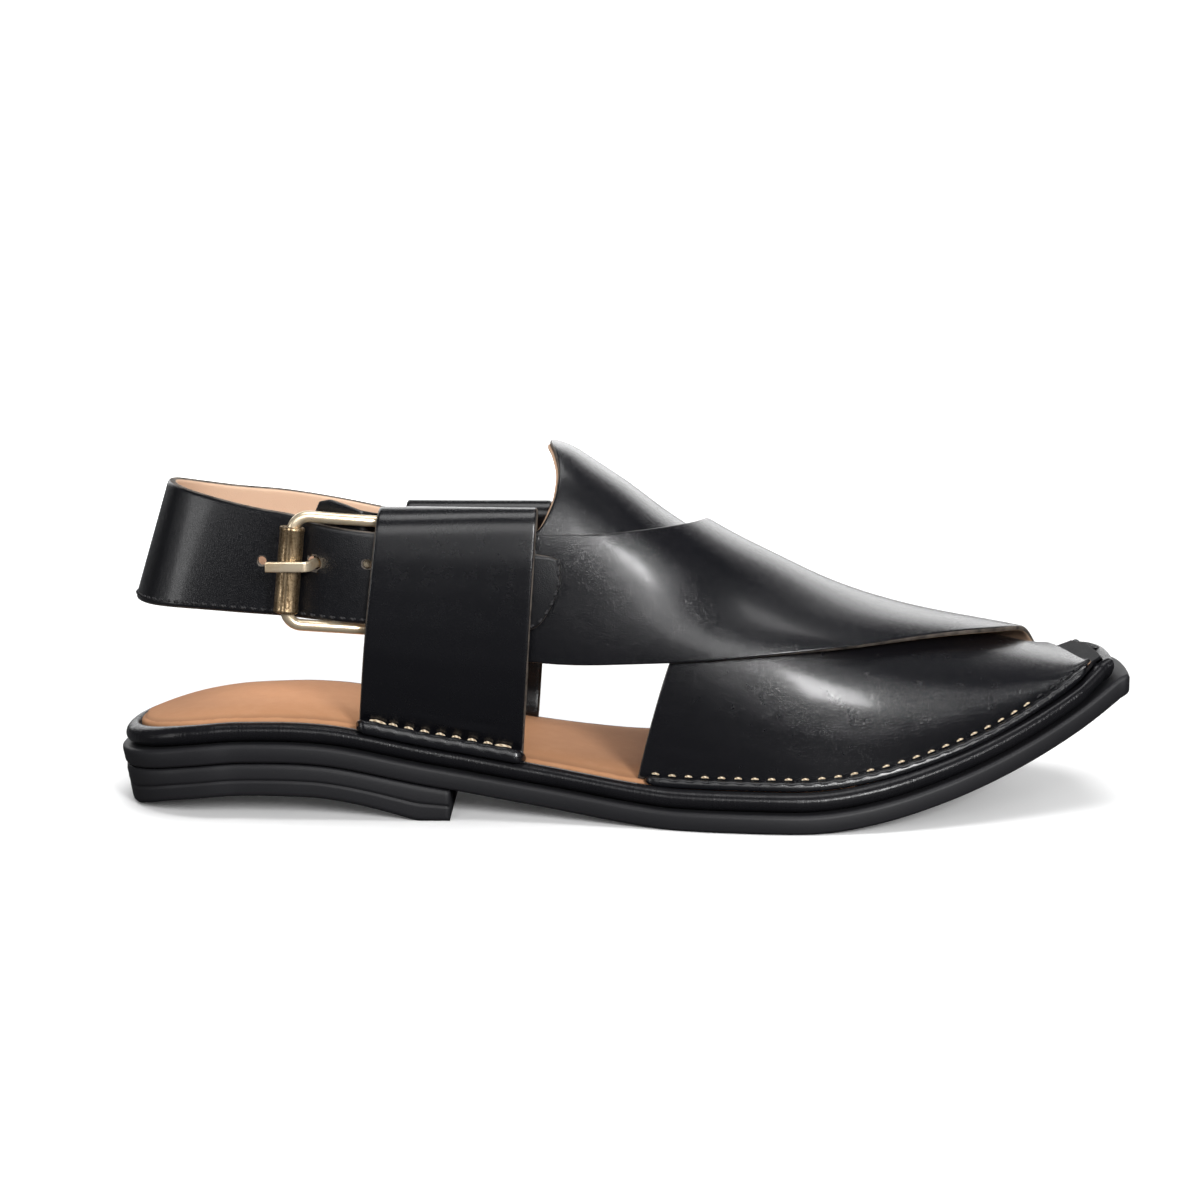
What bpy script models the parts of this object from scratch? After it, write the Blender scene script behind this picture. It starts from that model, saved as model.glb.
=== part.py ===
"""Peshawari chappal, right shoe: a buckled leather sandal with crossed straps on a turned-up rubber sole.

Metres, +Z up, +X towards the toe, -Y the outer (lateral) side. The origin is on the floor under the
middle of the outsole's length and width. Heights come from the sole's profile, widths from its plan,
and everything above the insole from one surface, the last, so the straps follow it when a size changes.
"""

import math

import bmesh
import bpy
import numpy as np

# Driving sizes of the sole
LENGTH = 0.304
BALL_WIDTH = 0.098
TOE_SPRING = 0.0355
SEAT_RISE = 0.0171
OUTSOLE_THICK = 0.0056
FOOTBED_THICK = 0.0056
INSOLE_THICK = 0.0024
INSOLE_PROUD = 0.0006
INSOLE_CROWN = 0.0012
HEEL_ARCH = 0.0072
HEEL_FLAT = 0.0085
HEEL_LENGTH = 0.102
BREAST_ROOM = 0.002
REAR_RAKE = 0.19
HEEL_ROUND = 0.034
TOE_SKEW = 0.0016
EDGE_BEVEL = 0.0006
FIT_GAP = 0.0003

# Driving sizes of the upper
INSTEP_HEIGHT = 0.1074
LEATHER = 0.0018
FOOT_INSET = 0.0092
FLANGE = 0.0028
FLANGE_SHARE = 0.1
VAMP_REACH = 0.62
TONGUE_SINK = 0.0009

# Driving sizes of the heel strap, its loops and the buckle
STRAP_THICK = 0.0026
STRAP_TOP = 0.0968
HOLE_RADIUS = 0.0014
PRONG_HOLE_RADIUS = 0.0021
HOLE_PITCH = 0.0155
HOLE_COUNT = 3
LOOP_WIDTH = 0.0478
LOOP_LEATHER = 0.0020
LATERAL_LOOP_TOP = 0.0920
MEDIAL_LOOP_TOP = 0.0870
LOOP_LEAN_BACK = 0.112
LOOP_LEAN_FRONT = 0.066
BUCKLE_ROOM = 0.0046
BUCKLE_HEIGHT = 0.0345
BUCKLE_LENGTH = 0.0310
WIRE_RADIUS = 0.0016
ROLLER_RADIUS = 0.0035
ROLLER_LENGTH = 0.0248
PRONG_WIDTH = 0.0025
PRONG_THICK = 0.0010
CHAPE_THICK = 0.0012
CHAPE_HEIGHT = 0.0300
CHAPE_REACH = 0.0215
CHAPE_RISE = 0.0016
CHAPE_SLOPE = 0.078

LATERAL = -1
MEDIAL = 1
HEEL_X = -LENGTH / 2
TOE_X = LENGTH / 2
SEAT_CENTRE_X = HEEL_X + HEEL_ROUND
BREAST_X = HEEL_X + HEEL_LENGTH
SPINE_END_X = TOE_X - 0.085 * LENGTH

# The outsole's plan: along is a share of LENGTH from the heel, the widths are shares of BALL_WIDTH.
SOLE_PLAN = (
    # along, lateral, medial
    (0.125, 0.332, 0.330),
    (0.178, 0.345, 0.337),
    (0.260, 0.349, 0.331),
    (0.342, 0.352, 0.318),
    (0.425, 0.376, 0.321),
    (0.507, 0.423, 0.357),
    (0.588, 0.478, 0.423),
    (0.664, 0.500, 0.480),
    (0.729, 0.482, 0.500),
    (0.803, 0.424, 0.482),
    (0.882, 0.334, 0.410),
    (0.946, 0.247, 0.322),
    (0.990, 0.187, 0.232),
)

# The underside's height: seat is a share of SEAT_RISE, spring a share of TOE_SPRING.
SOLE_PROFILE = (
    # along, seat, spring
    (0.000, 0.632, 0.000),
    (0.046, 0.784, 0.000),
    (0.079, 0.889, 0.000),
    (0.129, 0.982, 0.000),
    (0.174, 1.000, 0.000),
    (0.211, 0.965, 0.000),
    (0.243, 0.877, 0.000),
    (0.277, 0.749, 0.000),
    (0.312, 0.620, 0.000),
    (0.342, 0.526, 0.000),
    (0.375, 0.421, 0.000),
    (0.421, 0.292, 0.000),
    (0.467, 0.165, 0.000),
    (0.513, 0.052, 0.000),
    (0.549, 0.000, 0.000),
    (0.671, 0.000, 0.000),
    (0.704, 0.000, 0.018),
    (0.737, 0.000, 0.062),
    (0.773, 0.000, 0.127),
    (0.806, 0.000, 0.203),
    (0.852, 0.000, 0.332),
    (0.901, 0.000, 0.504),
    (0.951, 0.000, 0.721),
    (1.000, 0.000, 1.000),
)

# The heel block's hollow underside: along is a share of HEEL_LENGTH, lift a share of HEEL_ARCH.
HEEL_PROFILE = (
    # along, lift
    (0.000, 0.00),
    (0.055, 0.00),
    (0.110, 0.25),
    (0.190, 0.60),
    (0.270, 0.80),
    (0.350, 0.94),
    (0.490, 1.00),
    (0.600, 0.96),
    (0.680, 0.82),
    (0.790, 0.48),
    (0.860, 0.20),
    (0.915, 0.00),
    (1.000, 0.00),
)

# The last: ridge_y, spread and bulge are shares of BALL_WIDTH, ridge_z of INSTEP_HEIGHT.
LAST = (
    # along, ridge_y, ridge_z, spread, bulge, squareness
    (0.211, 0.000, 1.010, 0.037, 0.041, 0.60),
    (0.339, 0.000, 1.010, 0.037, 0.041, 0.60),
    (0.393, 0.004, 1.005, 0.035, 0.041, 0.60),
    (0.430, 0.008, 1.000, 0.032, 0.041, 0.62),
    (0.445, 0.010, 0.992, 0.029, 0.041, 0.64),
    (0.471, 0.012, 0.946, 0.023, 0.041, 0.68),
    (0.507, 0.014, 0.879, 0.012, 0.041, 0.74),
    (0.542, 0.017, 0.803, 0.003, 0.041, 0.80),
    (0.578, 0.020, 0.737, 0.000, 0.041, 0.86),
    (0.612, 0.025, 0.686, 0.000, 0.041, 0.92),
    (0.649, 0.030, 0.645, 0.000, 0.039, 0.97),
    (0.706, 0.035, 0.578, 0.000, 0.036, 1.00),
    (0.754, 0.040, 0.527, 0.000, 0.033, 1.00),
    (0.802, 0.042, 0.481, 0.000, 0.030, 1.00),
    (0.849, 0.040, 0.444, 0.000, 0.024, 1.00),
    (0.891, 0.036, 0.417, 0.000, 0.016, 1.00),
    (0.937, 0.030, 0.390, 0.000, 0.006, 1.00),
    (0.970, 0.025, 0.378, 0.000, 0.000, 1.00),
)
LAST_DROP_POWER = 0.8

# The front vamp's back and front edges: across runs from -1 at the lateral foot to 1 at the medial one.
VAMP_EDGES = (
    # across, back, front
    (-1.00, 0.516, 0.962),
    (-0.95, 0.523, 0.962),
    (-0.88, 0.531, 0.962),
    (-0.74, 0.545, 0.961),
    (-0.50, 0.570, 0.959),
    (-0.20, 0.595, 0.955),
    (0.10, 0.608, 0.950),
    (0.50, 0.615, 0.944),
    (1.00, 0.612, 0.940),
)

# The tongue saddle, from its lateral tail over the instep to its medial tail.
TONGUE_EDGES = (
    # back, back_across, front, front_across
    (0.388, -0.535, 0.396, -0.700),
    (0.405, -0.530, 0.430, -0.700),
    (0.420, -0.515, 0.490, -0.680),
    (0.431, -0.450, 0.555, -0.600),
    (0.438, -0.365, 0.600, -0.500),
    (0.440, -0.270, 0.622, -0.370),
    (0.436, -0.140, 0.636, -0.180),
    (0.430, 0.020, 0.642, 0.020),
    (0.434, 0.170, 0.645, 0.200),
    (0.440, 0.300, 0.645, 0.380),
    (0.442, 0.410, 0.638, 0.530),
    (0.437, 0.522, 0.610, 0.660),
    (0.416, 0.560, 0.530, 0.735),
    (0.378, 0.570, 0.440, 0.760),
    (0.343, 0.570, 0.354, 0.765),
)

# The outer strap, from its lateral tail over the instep to the medial foot. seat, rise and lift are in
# shares of LEATHER: how far its inner face stands off the last in the middle, at the back edge and at the front.
STRAP_OVER_EDGES = (
    # back, back_across, front, front_across, seat, rise, lift
    (0.350, -0.522, 0.350, -0.838, 0.74, 0.00, 0.00),
    (0.388, -0.527, 0.390, -0.840, 0.74, 0.00, 0.00),
    (0.423, -0.529, 0.440, -0.838, 0.76, 0.04, 0.02),
    (0.458, -0.497, 0.518, -0.770, 0.80, 0.22, 0.40),
    (0.488, -0.437, 0.590, -0.683, 0.80, 0.45, 1.20),
    (0.515, -0.362, 0.655, -0.608, 0.74, 0.85, 1.85),
    (0.538, -0.272, 0.715, -0.530, 0.66, 1.30, 2.20),
    (0.556, -0.180, 0.772, -0.430, 0.60, 1.55, 2.25),
    (0.568, -0.085, 0.825, -0.310, 0.58, 1.65, 2.25),
    (0.576, 0.020, 0.868, -0.175, 0.56, 1.70, 2.20),
    (0.582, 0.140, 0.894, 0.010, 0.56, 1.65, 2.10),
    (0.588, 0.290, 0.910, 0.240, 0.56, 1.45, 1.90),
    (0.592, 0.460, 0.922, 0.480, 0.56, 1.00, 1.30),
    (0.590, 0.640, 0.930, 0.700, 0.56, 0.50, 0.60),
    (0.584, 0.820, 0.934, 0.880, 0.56, 0.15, 0.15),
    (0.577, 1.000, 0.936, 1.000, 0.56, 0.00, 0.00),
)

# The heel strap from its medial end round the heel to the lateral tip. The x values are shares of LENGTH
# from the heel, y of BALL_WIDTH, and the heights of STRAP_TOP. Lie is the share by which a place
# follows the last's side in place of its y.
HEEL_STRAP = (
    # top_x, top_y, top_z, low_x, low_y, low_z, lie
    (0.373, 0.300, 0.820, 0.370, 0.350, 0.600, 1.0),
    (0.299, 0.300, 0.848, 0.297, 0.345, 0.596, 1.0),
    (0.262, 0.294, 0.868, 0.258, 0.312, 0.594, 1.0),
    (0.225, 0.294, 0.893, 0.220, 0.314, 0.592, 0.0),
    (0.158, 0.262, 0.933, 0.144, 0.290, 0.600, 0.0),
    (0.109, 0.207, 0.954, 0.085, 0.245, 0.610, 0.0),
    (0.074, 0.122, 0.980, 0.043, 0.158, 0.620, 0.0),
    (0.059, 0.000, 1.000, 0.022, 0.000, 0.624, 0.0),
    (0.074, -0.127, 0.991, 0.043, -0.165, 0.632, 0.0),
    (0.109, -0.205, 0.968, 0.085, -0.250, 0.634, 0.0),
    (0.158, -0.268, 0.940, 0.146, -0.293, 0.627, 0.0),
    (0.188, -0.295, 0.928, 0.181, -0.308, 0.622, 0.0),
    (0.223, -0.318, 0.896, 0.220, -0.334, 0.614, 0.3),
    (0.272, -0.334, 0.876, 0.270, -0.355, 0.605, 1.0),
    (0.329, -0.360, 0.862, 0.327, -0.370, 0.598, 1.0),
    (0.393, -0.370, 0.829, 0.391, -0.380, 0.590, 1.0),
    (0.418, -0.370, 0.816, 0.416, -0.380, 0.594, 1.0),
    (0.433, -0.370, 0.808, 0.433, -0.380, 0.655, 1.0),
    (0.442, -0.370, 0.796, 0.442, -0.380, 0.735, 1.0),
)

# The leaves of a side loop: height is a share of the way from foot to fold, reach of the full stand-off.
LOOP_LEAF = (
    # height, reach
    (0.000, 0.00),
    (0.040, 0.16),
    (0.120, 0.38),
    (0.260, 0.70),
    (0.400, 0.93),
    (0.550, 1.00),
    (0.700, 1.00),
    (0.860, 1.00),
    (1.000, 1.00),
)

COLOURS = {
    "outsole_rubber": ((0.018, 0.018, 0.020), 0.55, 0.0),
    "heel_rubber": ((0.018, 0.018, 0.020), 0.55, 0.0),
    "rim_leather": ((0.010, 0.010, 0.011), 0.35, 0.0),
    "insole_leather": ((0.56, 0.33, 0.19), 0.50, 0.0),
    "upper_leather": ((0.008, 0.008, 0.009), 0.25, 0.0),
    "loop_leather": ((0.008, 0.008, 0.009), 0.25, 0.0),
    "strap_leather": ((0.008, 0.008, 0.009), 0.28, 0.0),
    "buckle_brass": ((0.85, 0.62, 0.32), 0.22, 1.0),
    "roller_brass": ((0.42, 0.31, 0.18), 0.42, 1.0),
}


def clear_scene():
    """Removes the objects that Blender starts with."""
    for thing in list(bpy.data.objects):
        bpy.data.objects.remove(thing, do_unlink=True)


def material(name):
    """A Principled material with the named colour, roughness and metallic value."""
    found = bpy.data.materials.get(name)
    if found:
        return found
    colour, roughness, metallic = COLOURS[name]
    made = bpy.data.materials.new(name)
    made.use_nodes = True
    shader = made.node_tree.nodes["Principled BSDF"]
    shader.inputs["Base Color"].default_value = (*colour, 1.0)
    shader.inputs["Roughness"].default_value = roughness
    shader.inputs["Metallic"].default_value = metallic
    made.diffuse_color = (*colour, 1.0)
    return made


def solid(name, points, faces, finish, sharp_deg=40):
    """One closed named object from points and faces, with its normals outward."""
    mesh = bpy.data.meshes.new(name)
    mesh.from_pydata([tuple(map(float, p)) for p in points], [], faces)
    build = bmesh.new()
    build.from_mesh(mesh)
    bmesh.ops.triangulate(build, faces=build.faces[:])
    bmesh.ops.recalc_face_normals(build, faces=build.faces[:])
    build.to_mesh(mesh)
    build.free()
    mesh.shade_smooth()
    mesh.set_sharp_from_angle(angle=math.radians(sharp_deg))
    mesh.materials.append(material(finish))
    thing = bpy.data.objects.new(name, mesh)
    bpy.context.scene.collection.objects.link(thing)
    return thing


def smooth(table, column, x, key=0):
    """A table column at x, by a monotone cubic through its rows, level where two rows are equal."""
    xs = np.array([row[key] for row in table], float)
    ys = np.array([row[column] for row in table], float)
    step = np.diff(xs)
    rise = np.diff(ys) / step
    slope = np.zeros(len(xs))
    slope[0], slope[-1] = rise[0], rise[-1]
    for k in range(1, len(xs) - 1):
        if rise[k - 1] * rise[k] > 0:
            before, after = 2 * step[k] + step[k - 1], step[k] + 2 * step[k - 1]
            slope[k] = (before + after) / (before / rise[k - 1] + after / rise[k])
    x = np.clip(np.asarray(x, float), xs[0], xs[-1])
    i = np.clip(np.searchsorted(xs, x, side="right") - 1, 0, len(step) - 1)
    s = (x - xs[i]) / step[i]
    keep = (1 + 2 * s) * (1 - s) ** 2 * ys[i] + s * (1 - s) ** 2 * step[i] * slope[i]
    return keep + s * s * (3 - 2 * s) * ys[i + 1] + s * s * (s - 1) * step[i] * slope[i + 1]


def along(x):
    """The share of the sole's length at x, from 0 at the heel to 1 at the toe."""
    return (np.asarray(x, float) - HEEL_X) / LENGTH


def at_share(share):
    """The x of a share of the sole's length."""
    return HEEL_X + np.asarray(share, float) * LENGTH


def half_width(x, side):
    """The outsole's half width at x: a half ellipse round the heel, then the plan table."""
    column = 1 if side == LATERAL else 2
    wide = smooth(SOLE_PLAN, column, along(x)) * BALL_WIDTH
    back = np.clip((SEAT_CENTRE_X - np.asarray(x, float)) / HEEL_ROUND, 0, 1)
    return wide * np.sqrt(1 - back * back)


def underside(x):
    """The height of the outsole's lower face."""
    share = along(x)
    return smooth(SOLE_PROFILE, 1, share) * SEAT_RISE + smooth(SOLE_PROFILE, 2, share) * TOE_SPRING


def stack(x, thickness):
    """The height of a layer that lies a thickness above the outsole's lower face, square to its slope."""
    reach = 0.004
    slope = (underside(np.asarray(x) + reach) - underside(np.asarray(x) - reach)) / (2 * reach)
    return underside(x) + thickness * np.sqrt(1 + slope * slope)


OUTSOLE_TOP = OUTSOLE_THICK
FOOTBED_LOW = OUTSOLE_TOP + FIT_GAP
FOOTBED_TOP = FOOTBED_LOW + FOOTBED_THICK
INSOLE_EDGE = FOOTBED_TOP + INSOLE_PROUD
INSOLE_LOW = INSOLE_EDGE - INSOLE_THICK
UPPER_LOW = INSOLE_EDGE + FIT_GAP


def side_points(side, stations=26, arc_steps=9, toe_steps=4):
    """The outsole's edge on one side, from the heel's rearmost point to the middle of the toe."""
    turn = np.radians(np.linspace(0, 90, arc_steps + 1))[:-1]
    heel = SEAT_CENTRE_X - HEEL_ROUND * np.cos(turn)
    last_row = SOLE_PLAN[-1]
    corner_x = float(at_share(last_row[0])) - side * TOE_SKEW
    run = np.linspace(SEAT_CENTRE_X, corner_x, stations)
    run = np.sort(np.append(run, BREAST_X - HEEL_FLAT))
    x = np.concatenate([heel, run])
    y = side * half_width(x, side)
    share = np.linspace(1, 0, toe_steps + 1)[1:]
    toe_x = TOE_X - (TOE_X - corner_x) * share ** 2
    toe_y = y[-1] * share
    return np.column_stack([np.concatenate([x, toe_x]), np.concatenate([y, toe_y])])


def inset_points(side, inset, toe_extra=0.0):
    """The edge on one side moved inwards, towards the sole's middle line, by an inset."""
    edge = side_points(side)
    spine = np.column_stack([np.clip(edge[:, 0], SEAT_CENTRE_X, SPINE_END_X), np.zeros(len(edge))])
    inward = spine - edge
    inward /= np.linalg.norm(inward, axis=1)[:, None]
    run = np.gradient(edge, axis=0)
    run[0] = (0, 1)
    run[-1] = (0, 1)
    normal = np.column_stack([run[:, 1], -run[:, 0]])
    normal /= np.linalg.norm(normal, axis=1)[:, None]
    facing = np.clip(np.abs((normal * inward).sum(1)), 0.6, 1)
    near_toe = np.clip((along(edge[:, 0]) - 0.95) / 0.04, 0, 1)
    return edge + inward * ((inset + toe_extra * near_toe) / facing)[:, None]


def ring(inset, height, toe_extra=0.0, shift=None):
    """A pair of edge lines, lateral and medial, with their heights from a function of x."""
    pair = []
    for side in (LATERAL, MEDIAL):
        plan = inset_points(side, inset, toe_extra)
        if shift is not None:
            plan[:, 0] = shift(plan[:, 0])
        pair.append(np.column_stack([plan, height(plan[:, 0])]))
    return pair


def layer(name, rings, finish, columns=0, crown=0.0, pointed=True):
    """A sole layer: rings bridged from the lowest to the highest, capped across below and above."""
    count = len(rings[0][0])
    points, loops = [], []
    for lateral, medial in rings:
        first = len(points)
        back = medial[1:-1] if pointed else medial[1:]
        points += list(lateral) + list(back[::-1])
        loops.append([first + k for k in range(count + len(back))])
    faces = []
    for low, high in zip(loops, loops[1:]):
        for k in range(len(low)):
            after = (k + 1) % len(low)
            faces.append((low[k], low[after], high[after], high[k]))

    def other(loop, k):
        """The medial point across from lateral point k."""
        if k == 0 or (pointed and k == count - 1):
            return loop[k]
        return loop[len(loop) - k]

    def cap(loop, spans):
        rows = []
        for k in range(count):
            start, end = loop[k], other(loop, k)
            row = [start]
            if start != end:
                for c in range(1, spans):
                    share = c / spans
                    spot = np.array(points[start]) * (1 - share) + np.array(points[end]) * share
                    rise = 1 - (2 * share - 1) ** 4
                    spot = spot + np.array((0, 0, crown * rise * (1 - ease((along(spot[0]) - 0.80) / 0.08))))
                    row.append(len(points))
                    points.append(spot)
                row.append(end)
            rows.append(row)
        for near, far in zip(rows, rows[1:]):
            if len(near) == 1:
                faces.extend((near[0], far[c], far[c + 1]) for c in range(len(far) - 1))
            elif len(far) == 1:
                faces.extend((near[c], far[0], near[c + 1]) for c in range(len(near) - 1))
            else:
                faces.extend((near[c], far[c], far[c + 1], near[c + 1]) for c in range(len(near) - 1))

    cap(loops[0], 1)
    cap(loops[-1], columns + 1)
    return solid(name, points, faces, finish)


def rake(drop):
    """Moves the back of the heel forwards as it goes down by a drop."""
    def shifted(x):
        fade = np.clip((BREAST_X - x) / HEEL_LENGTH, 0, 1)
        return x + REAR_RAKE * drop * fade
    return shifted


def make_outsole():
    """The rubber outsole, turned up at the toe and over the heel seat."""
    low, high = rake(OUTSOLE_THICK), rake(0)
    rings = [
        ring(EDGE_BEVEL, underside, shift=low),
        ring(0.0, lambda x: stack(x, EDGE_BEVEL), shift=low),
        ring(0.0, lambda x: stack(x, OUTSOLE_TOP - EDGE_BEVEL), shift=high),
        ring(EDGE_BEVEL, lambda x: stack(x, OUTSOLE_TOP), shift=high),
    ]
    return layer("outsole", rings, "outsole_rubber")


def heel_underside(x):
    """The height of the heel block's lower face, which touches the floor at its back and its breast."""
    share = (np.asarray(x, float) - HEEL_X) / HEEL_LENGTH
    return smooth(HEEL_PROFILE, 1, share) * HEEL_ARCH


def make_heel():
    """The stacked heel block under the outsole, arched along its length."""
    def clipped(pair):
        count = int((pair[0][:, 0] < BREAST_X - BREAST_ROOM).sum())
        sides = []
        for line in pair:
            kept = line[:count]
            nxt = line[count]
            share = (BREAST_X - kept[-1, 0]) / (nxt[0] - kept[-1, 0])
            end = kept[-1] * (1 - share) + nxt * share
            sides.append(np.vstack([kept, end]))
        return sides

    def heel_ring(inset, height, drop):
        pair = clipped(ring(inset, lambda x: 0 * x))
        for line in pair:
            line[:, 0] = rake(drop)(line[:, 0])
            line[:, 2] = height(line[:, 0])
        return pair

    drop = OUTSOLE_THICK + SEAT_RISE - HEEL_ARCH
    rings = [
        heel_ring(EDGE_BEVEL, heel_underside, drop),
        heel_ring(0.0, lambda x: heel_underside(x) + EDGE_BEVEL, drop),
        heel_ring(0.0, lambda x: underside(x) - FIT_GAP, OUTSOLE_THICK),
    ]
    return layer("heel_block", rings, "heel_rubber", pointed=False)


RIM_OUT = 0.0014
RIM_CREST_INSET = 0.0044
RECESS_INSET = 0.0060
RIM_TOE_INSET = 0.0030


def make_footbed():
    """The footbed board wrapped in black leather: its edge is a rolled rim round the insole's recess."""
    recess = INSOLE_LOW - FIT_GAP - FOOTBED_LOW
    profile = (
        # inset, height above the footbed's lower face
        (RIM_OUT + 0.0012, 0.0),
        (RIM_OUT + 0.0002, 0.20 * FOOTBED_THICK),
        (RIM_OUT, 0.48 * FOOTBED_THICK),
        (RIM_OUT + 0.0006, 0.78 * FOOTBED_THICK),
        (RIM_OUT + 0.0016, 0.94 * FOOTBED_THICK),
        (RIM_CREST_INSET, FOOTBED_THICK),
        (RECESS_INSET - 0.0002, 0.95 * FOOTBED_THICK),
        (RECESS_INSET, recess),
    )
    rings = [
        ring(inset, lambda x, h=height: stack(x, FOOTBED_LOW + h), RIM_TOE_INSET)
        for inset, height in profile
    ]
    return layer("footbed_rim", rings, "rim_leather")


def make_insole():
    """The tan sock on the footbed, padded so that it stands a little proud of the rim."""
    edge = RECESS_INSET + FIT_GAP
    rings = [
        ring(edge, lambda x: stack(x, INSOLE_LOW), RIM_TOE_INSET),
        ring(edge, lambda x: stack(x, INSOLE_EDGE - 0.0008), RIM_TOE_INSET),
        ring(edge + 0.0010, lambda x: stack(x, INSOLE_EDGE), RIM_TOE_INSET),
        ring(FOOT_INSET + 3 * LEATHER, lambda x: stack(x, INSOLE_EDGE), RIM_TOE_INSET),
    ]
    return layer("insole", rings, "insole_leather", columns=5, crown=INSOLE_CROWN)


def foot_height(x):
    """The height at which the upper stands on the insole's edge."""
    return stack(x, UPPER_LOW) + 4 * FIT_GAP * ease((along(x) - 0.85) / 0.1)


def foot_reach(x, side):
    """How far the last's foot line lies from the ridge line, on one side."""
    share = along(x)
    spread = smooth(LAST, 3, share) * BALL_WIDTH
    ridge = smooth(LAST, 1, share) * BALL_WIDTH
    return half_width(x, side) - FOOT_INSET + spread - side * ridge


def last_surface(x, across):
    """The last: an arch over the foot at each x, from -1 at the lateral foot to 1 at the medial foot.

    Past 1 it runs on level, outwards, as the flange that is stitched to the sole.
    """
    share = along(x)
    side = np.where(across < 0, LATERAL, MEDIAL)
    reach = np.where(side < 0, foot_reach(x, LATERAL), foot_reach(x, MEDIAL))
    turn = np.minimum(np.abs(across), 1) * math.pi / 2
    square = smooth(LAST, 5, share)
    bulge = smooth(LAST, 4, share) * BALL_WIDTH
    out = reach * np.sin(turn) ** square + bulge * np.sin(2 * turn)
    flange = np.maximum(np.abs(across) - 1, 0) / FLANGE_SHARE * FLANGE
    y = smooth(LAST, 1, share) * BALL_WIDTH + side * (out + flange)
    low = foot_height(x)
    high = smooth(LAST, 2, share) * INSTEP_HEIGHT
    z = low + (high - low) * np.maximum(np.cos(turn), 0) ** LAST_DROP_POWER
    return np.stack([x, y, z], axis=-1)


def last_side(x, z, side):
    """The last's y at a height on one side."""
    share = along(x)
    low = foot_height(x)
    high = smooth(LAST, 2, share) * INSTEP_HEIGHT
    drop = np.clip((np.asarray(z, float) - low) / (high - low), 0, 1) ** (1 / LAST_DROP_POWER)
    turn = np.arccos(drop)
    bulge = smooth(LAST, 4, share) * BALL_WIDTH
    out = foot_reach(x, side) * np.sin(turn) ** smooth(LAST, 5, share) + bulge * np.sin(2 * turn)
    return smooth(LAST, 1, share) * BALL_WIDTH + side * out


def beside(x, z, side, off):
    """The y of a point that stands off the last's side by a distance square to its slope."""
    reach = 0.001
    rise = (last_side(x, z + reach, side) - last_side(x, z - reach, side)) / (2 * reach)
    run = (last_side(x + reach, z, side) - last_side(x - reach, z, side)) / (2 * reach)
    return last_side(x, z, side) + side * off * np.sqrt(1 + rise * rise + run * run)


def outward(grid):
    """Unit normals of a grid of points on the last, facing away from the foot."""
    du = np.gradient(grid, axis=0)
    dv = np.gradient(grid, axis=1)
    normal = np.cross(du, dv)
    normal /= np.linalg.norm(normal, axis=2)[:, :, None]
    return normal * np.sign((normal * grid)[:, :, 1].sum())


def shell(name, outer, inner, finish):
    """A closed sheet between two equal grids of points."""
    rows, cols = outer.shape[:2]
    points = list(outer.reshape(-1, 3)) + list(inner.reshape(-1, 3))
    base = rows * cols

    def top(i, j):
        return i * cols + j

    faces = []
    for i in range(rows - 1):
        for j in range(cols - 1):
            square = (top(i, j), top(i, j + 1), top(i + 1, j + 1), top(i + 1, j))
            faces.append(square)
            faces.append(tuple(base + k for k in reversed(square)))
    rim = [top(0, j) for j in range(cols)] + [top(i, cols - 1) for i in range(1, rows)]
    rim += [top(rows - 1, j) for j in range(cols - 2, -1, -1)] + [top(i, 0) for i in range(rows - 2, 0, -1)]
    for k, here in enumerate(rim):
        after = rim[(k + 1) % len(rim)]
        faces.append((here, base + here, base + after, after))
    return solid(name, points, faces, finish)


def column_curve(table, column, share):
    """A table column read by the row's place in the table, from 0 at the first row to 1 at the last."""
    rows = [(k / (len(table) - 1), row[column]) for k, row in enumerate(table)]
    return smooth(rows, 1, share)


def ease(x):
    """A smooth step from 0 to 1."""
    x = np.clip(x, 0, 1)
    return x * x * (3 - 2 * x)


def band(table, rows, cols, foot_rows=False):
    """A band's places on the last, from its back edge to its front edge, row by row along its length."""
    lengthwise = np.linspace(0, 1, rows)[:, None]
    crosswise = np.linspace(0, 1, cols)[None, :]
    back_x = at_share(column_curve(table, 0, lengthwise))
    back_t = column_curve(table, 1, lengthwise)
    front_x = at_share(column_curve(table, 2, lengthwise))
    front_t = column_curve(table, 3, lengthwise)
    x = back_x * (1 - crosswise) + front_x * crosswise
    across = back_t * (1 - crosswise) + front_t * crosswise
    if foot_rows:
        x = np.vstack([x, x[-1:]])
        across = np.vstack([across, across[-1:] + FLANGE_SHARE])
    return x, across


def make_vamp():
    """The front vamp: one sheet from the lateral foot over the toes, to where the outer strap covers it."""
    steps = np.concatenate([[-1 - FLANGE_SHARE], np.linspace(-1, VAMP_REACH, 17)])
    inner_steps = np.clip(steps, -1, 1)
    cols = 15
    share = np.linspace(0, 1, cols)[None, :]
    back = at_share(smooth(VAMP_EDGES, 1, inner_steps))[:, None]
    front = at_share(smooth(VAMP_EDGES, 2, inner_steps))[:, None]
    x = back * (1 - share) + front * share
    across = np.repeat(steps[:, None], cols, axis=1)
    inner = last_surface(x, across)
    return shell("upper", inner + outward(inner) * LEATHER, inner, "upper_leather")


def make_tongue():
    """The saddle under the crossing: tongue at the instep, with a tail into each side loop."""
    x, across = band(TONGUE_EDGES, 23, 10)
    middle = last_surface(x, across)
    normal = outward(middle)
    low, high = -TONGUE_SINK, LEATHER - TONGUE_SINK
    return shell("tongue_saddle", middle + normal * high, middle + normal * low, "upper_leather")


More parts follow.
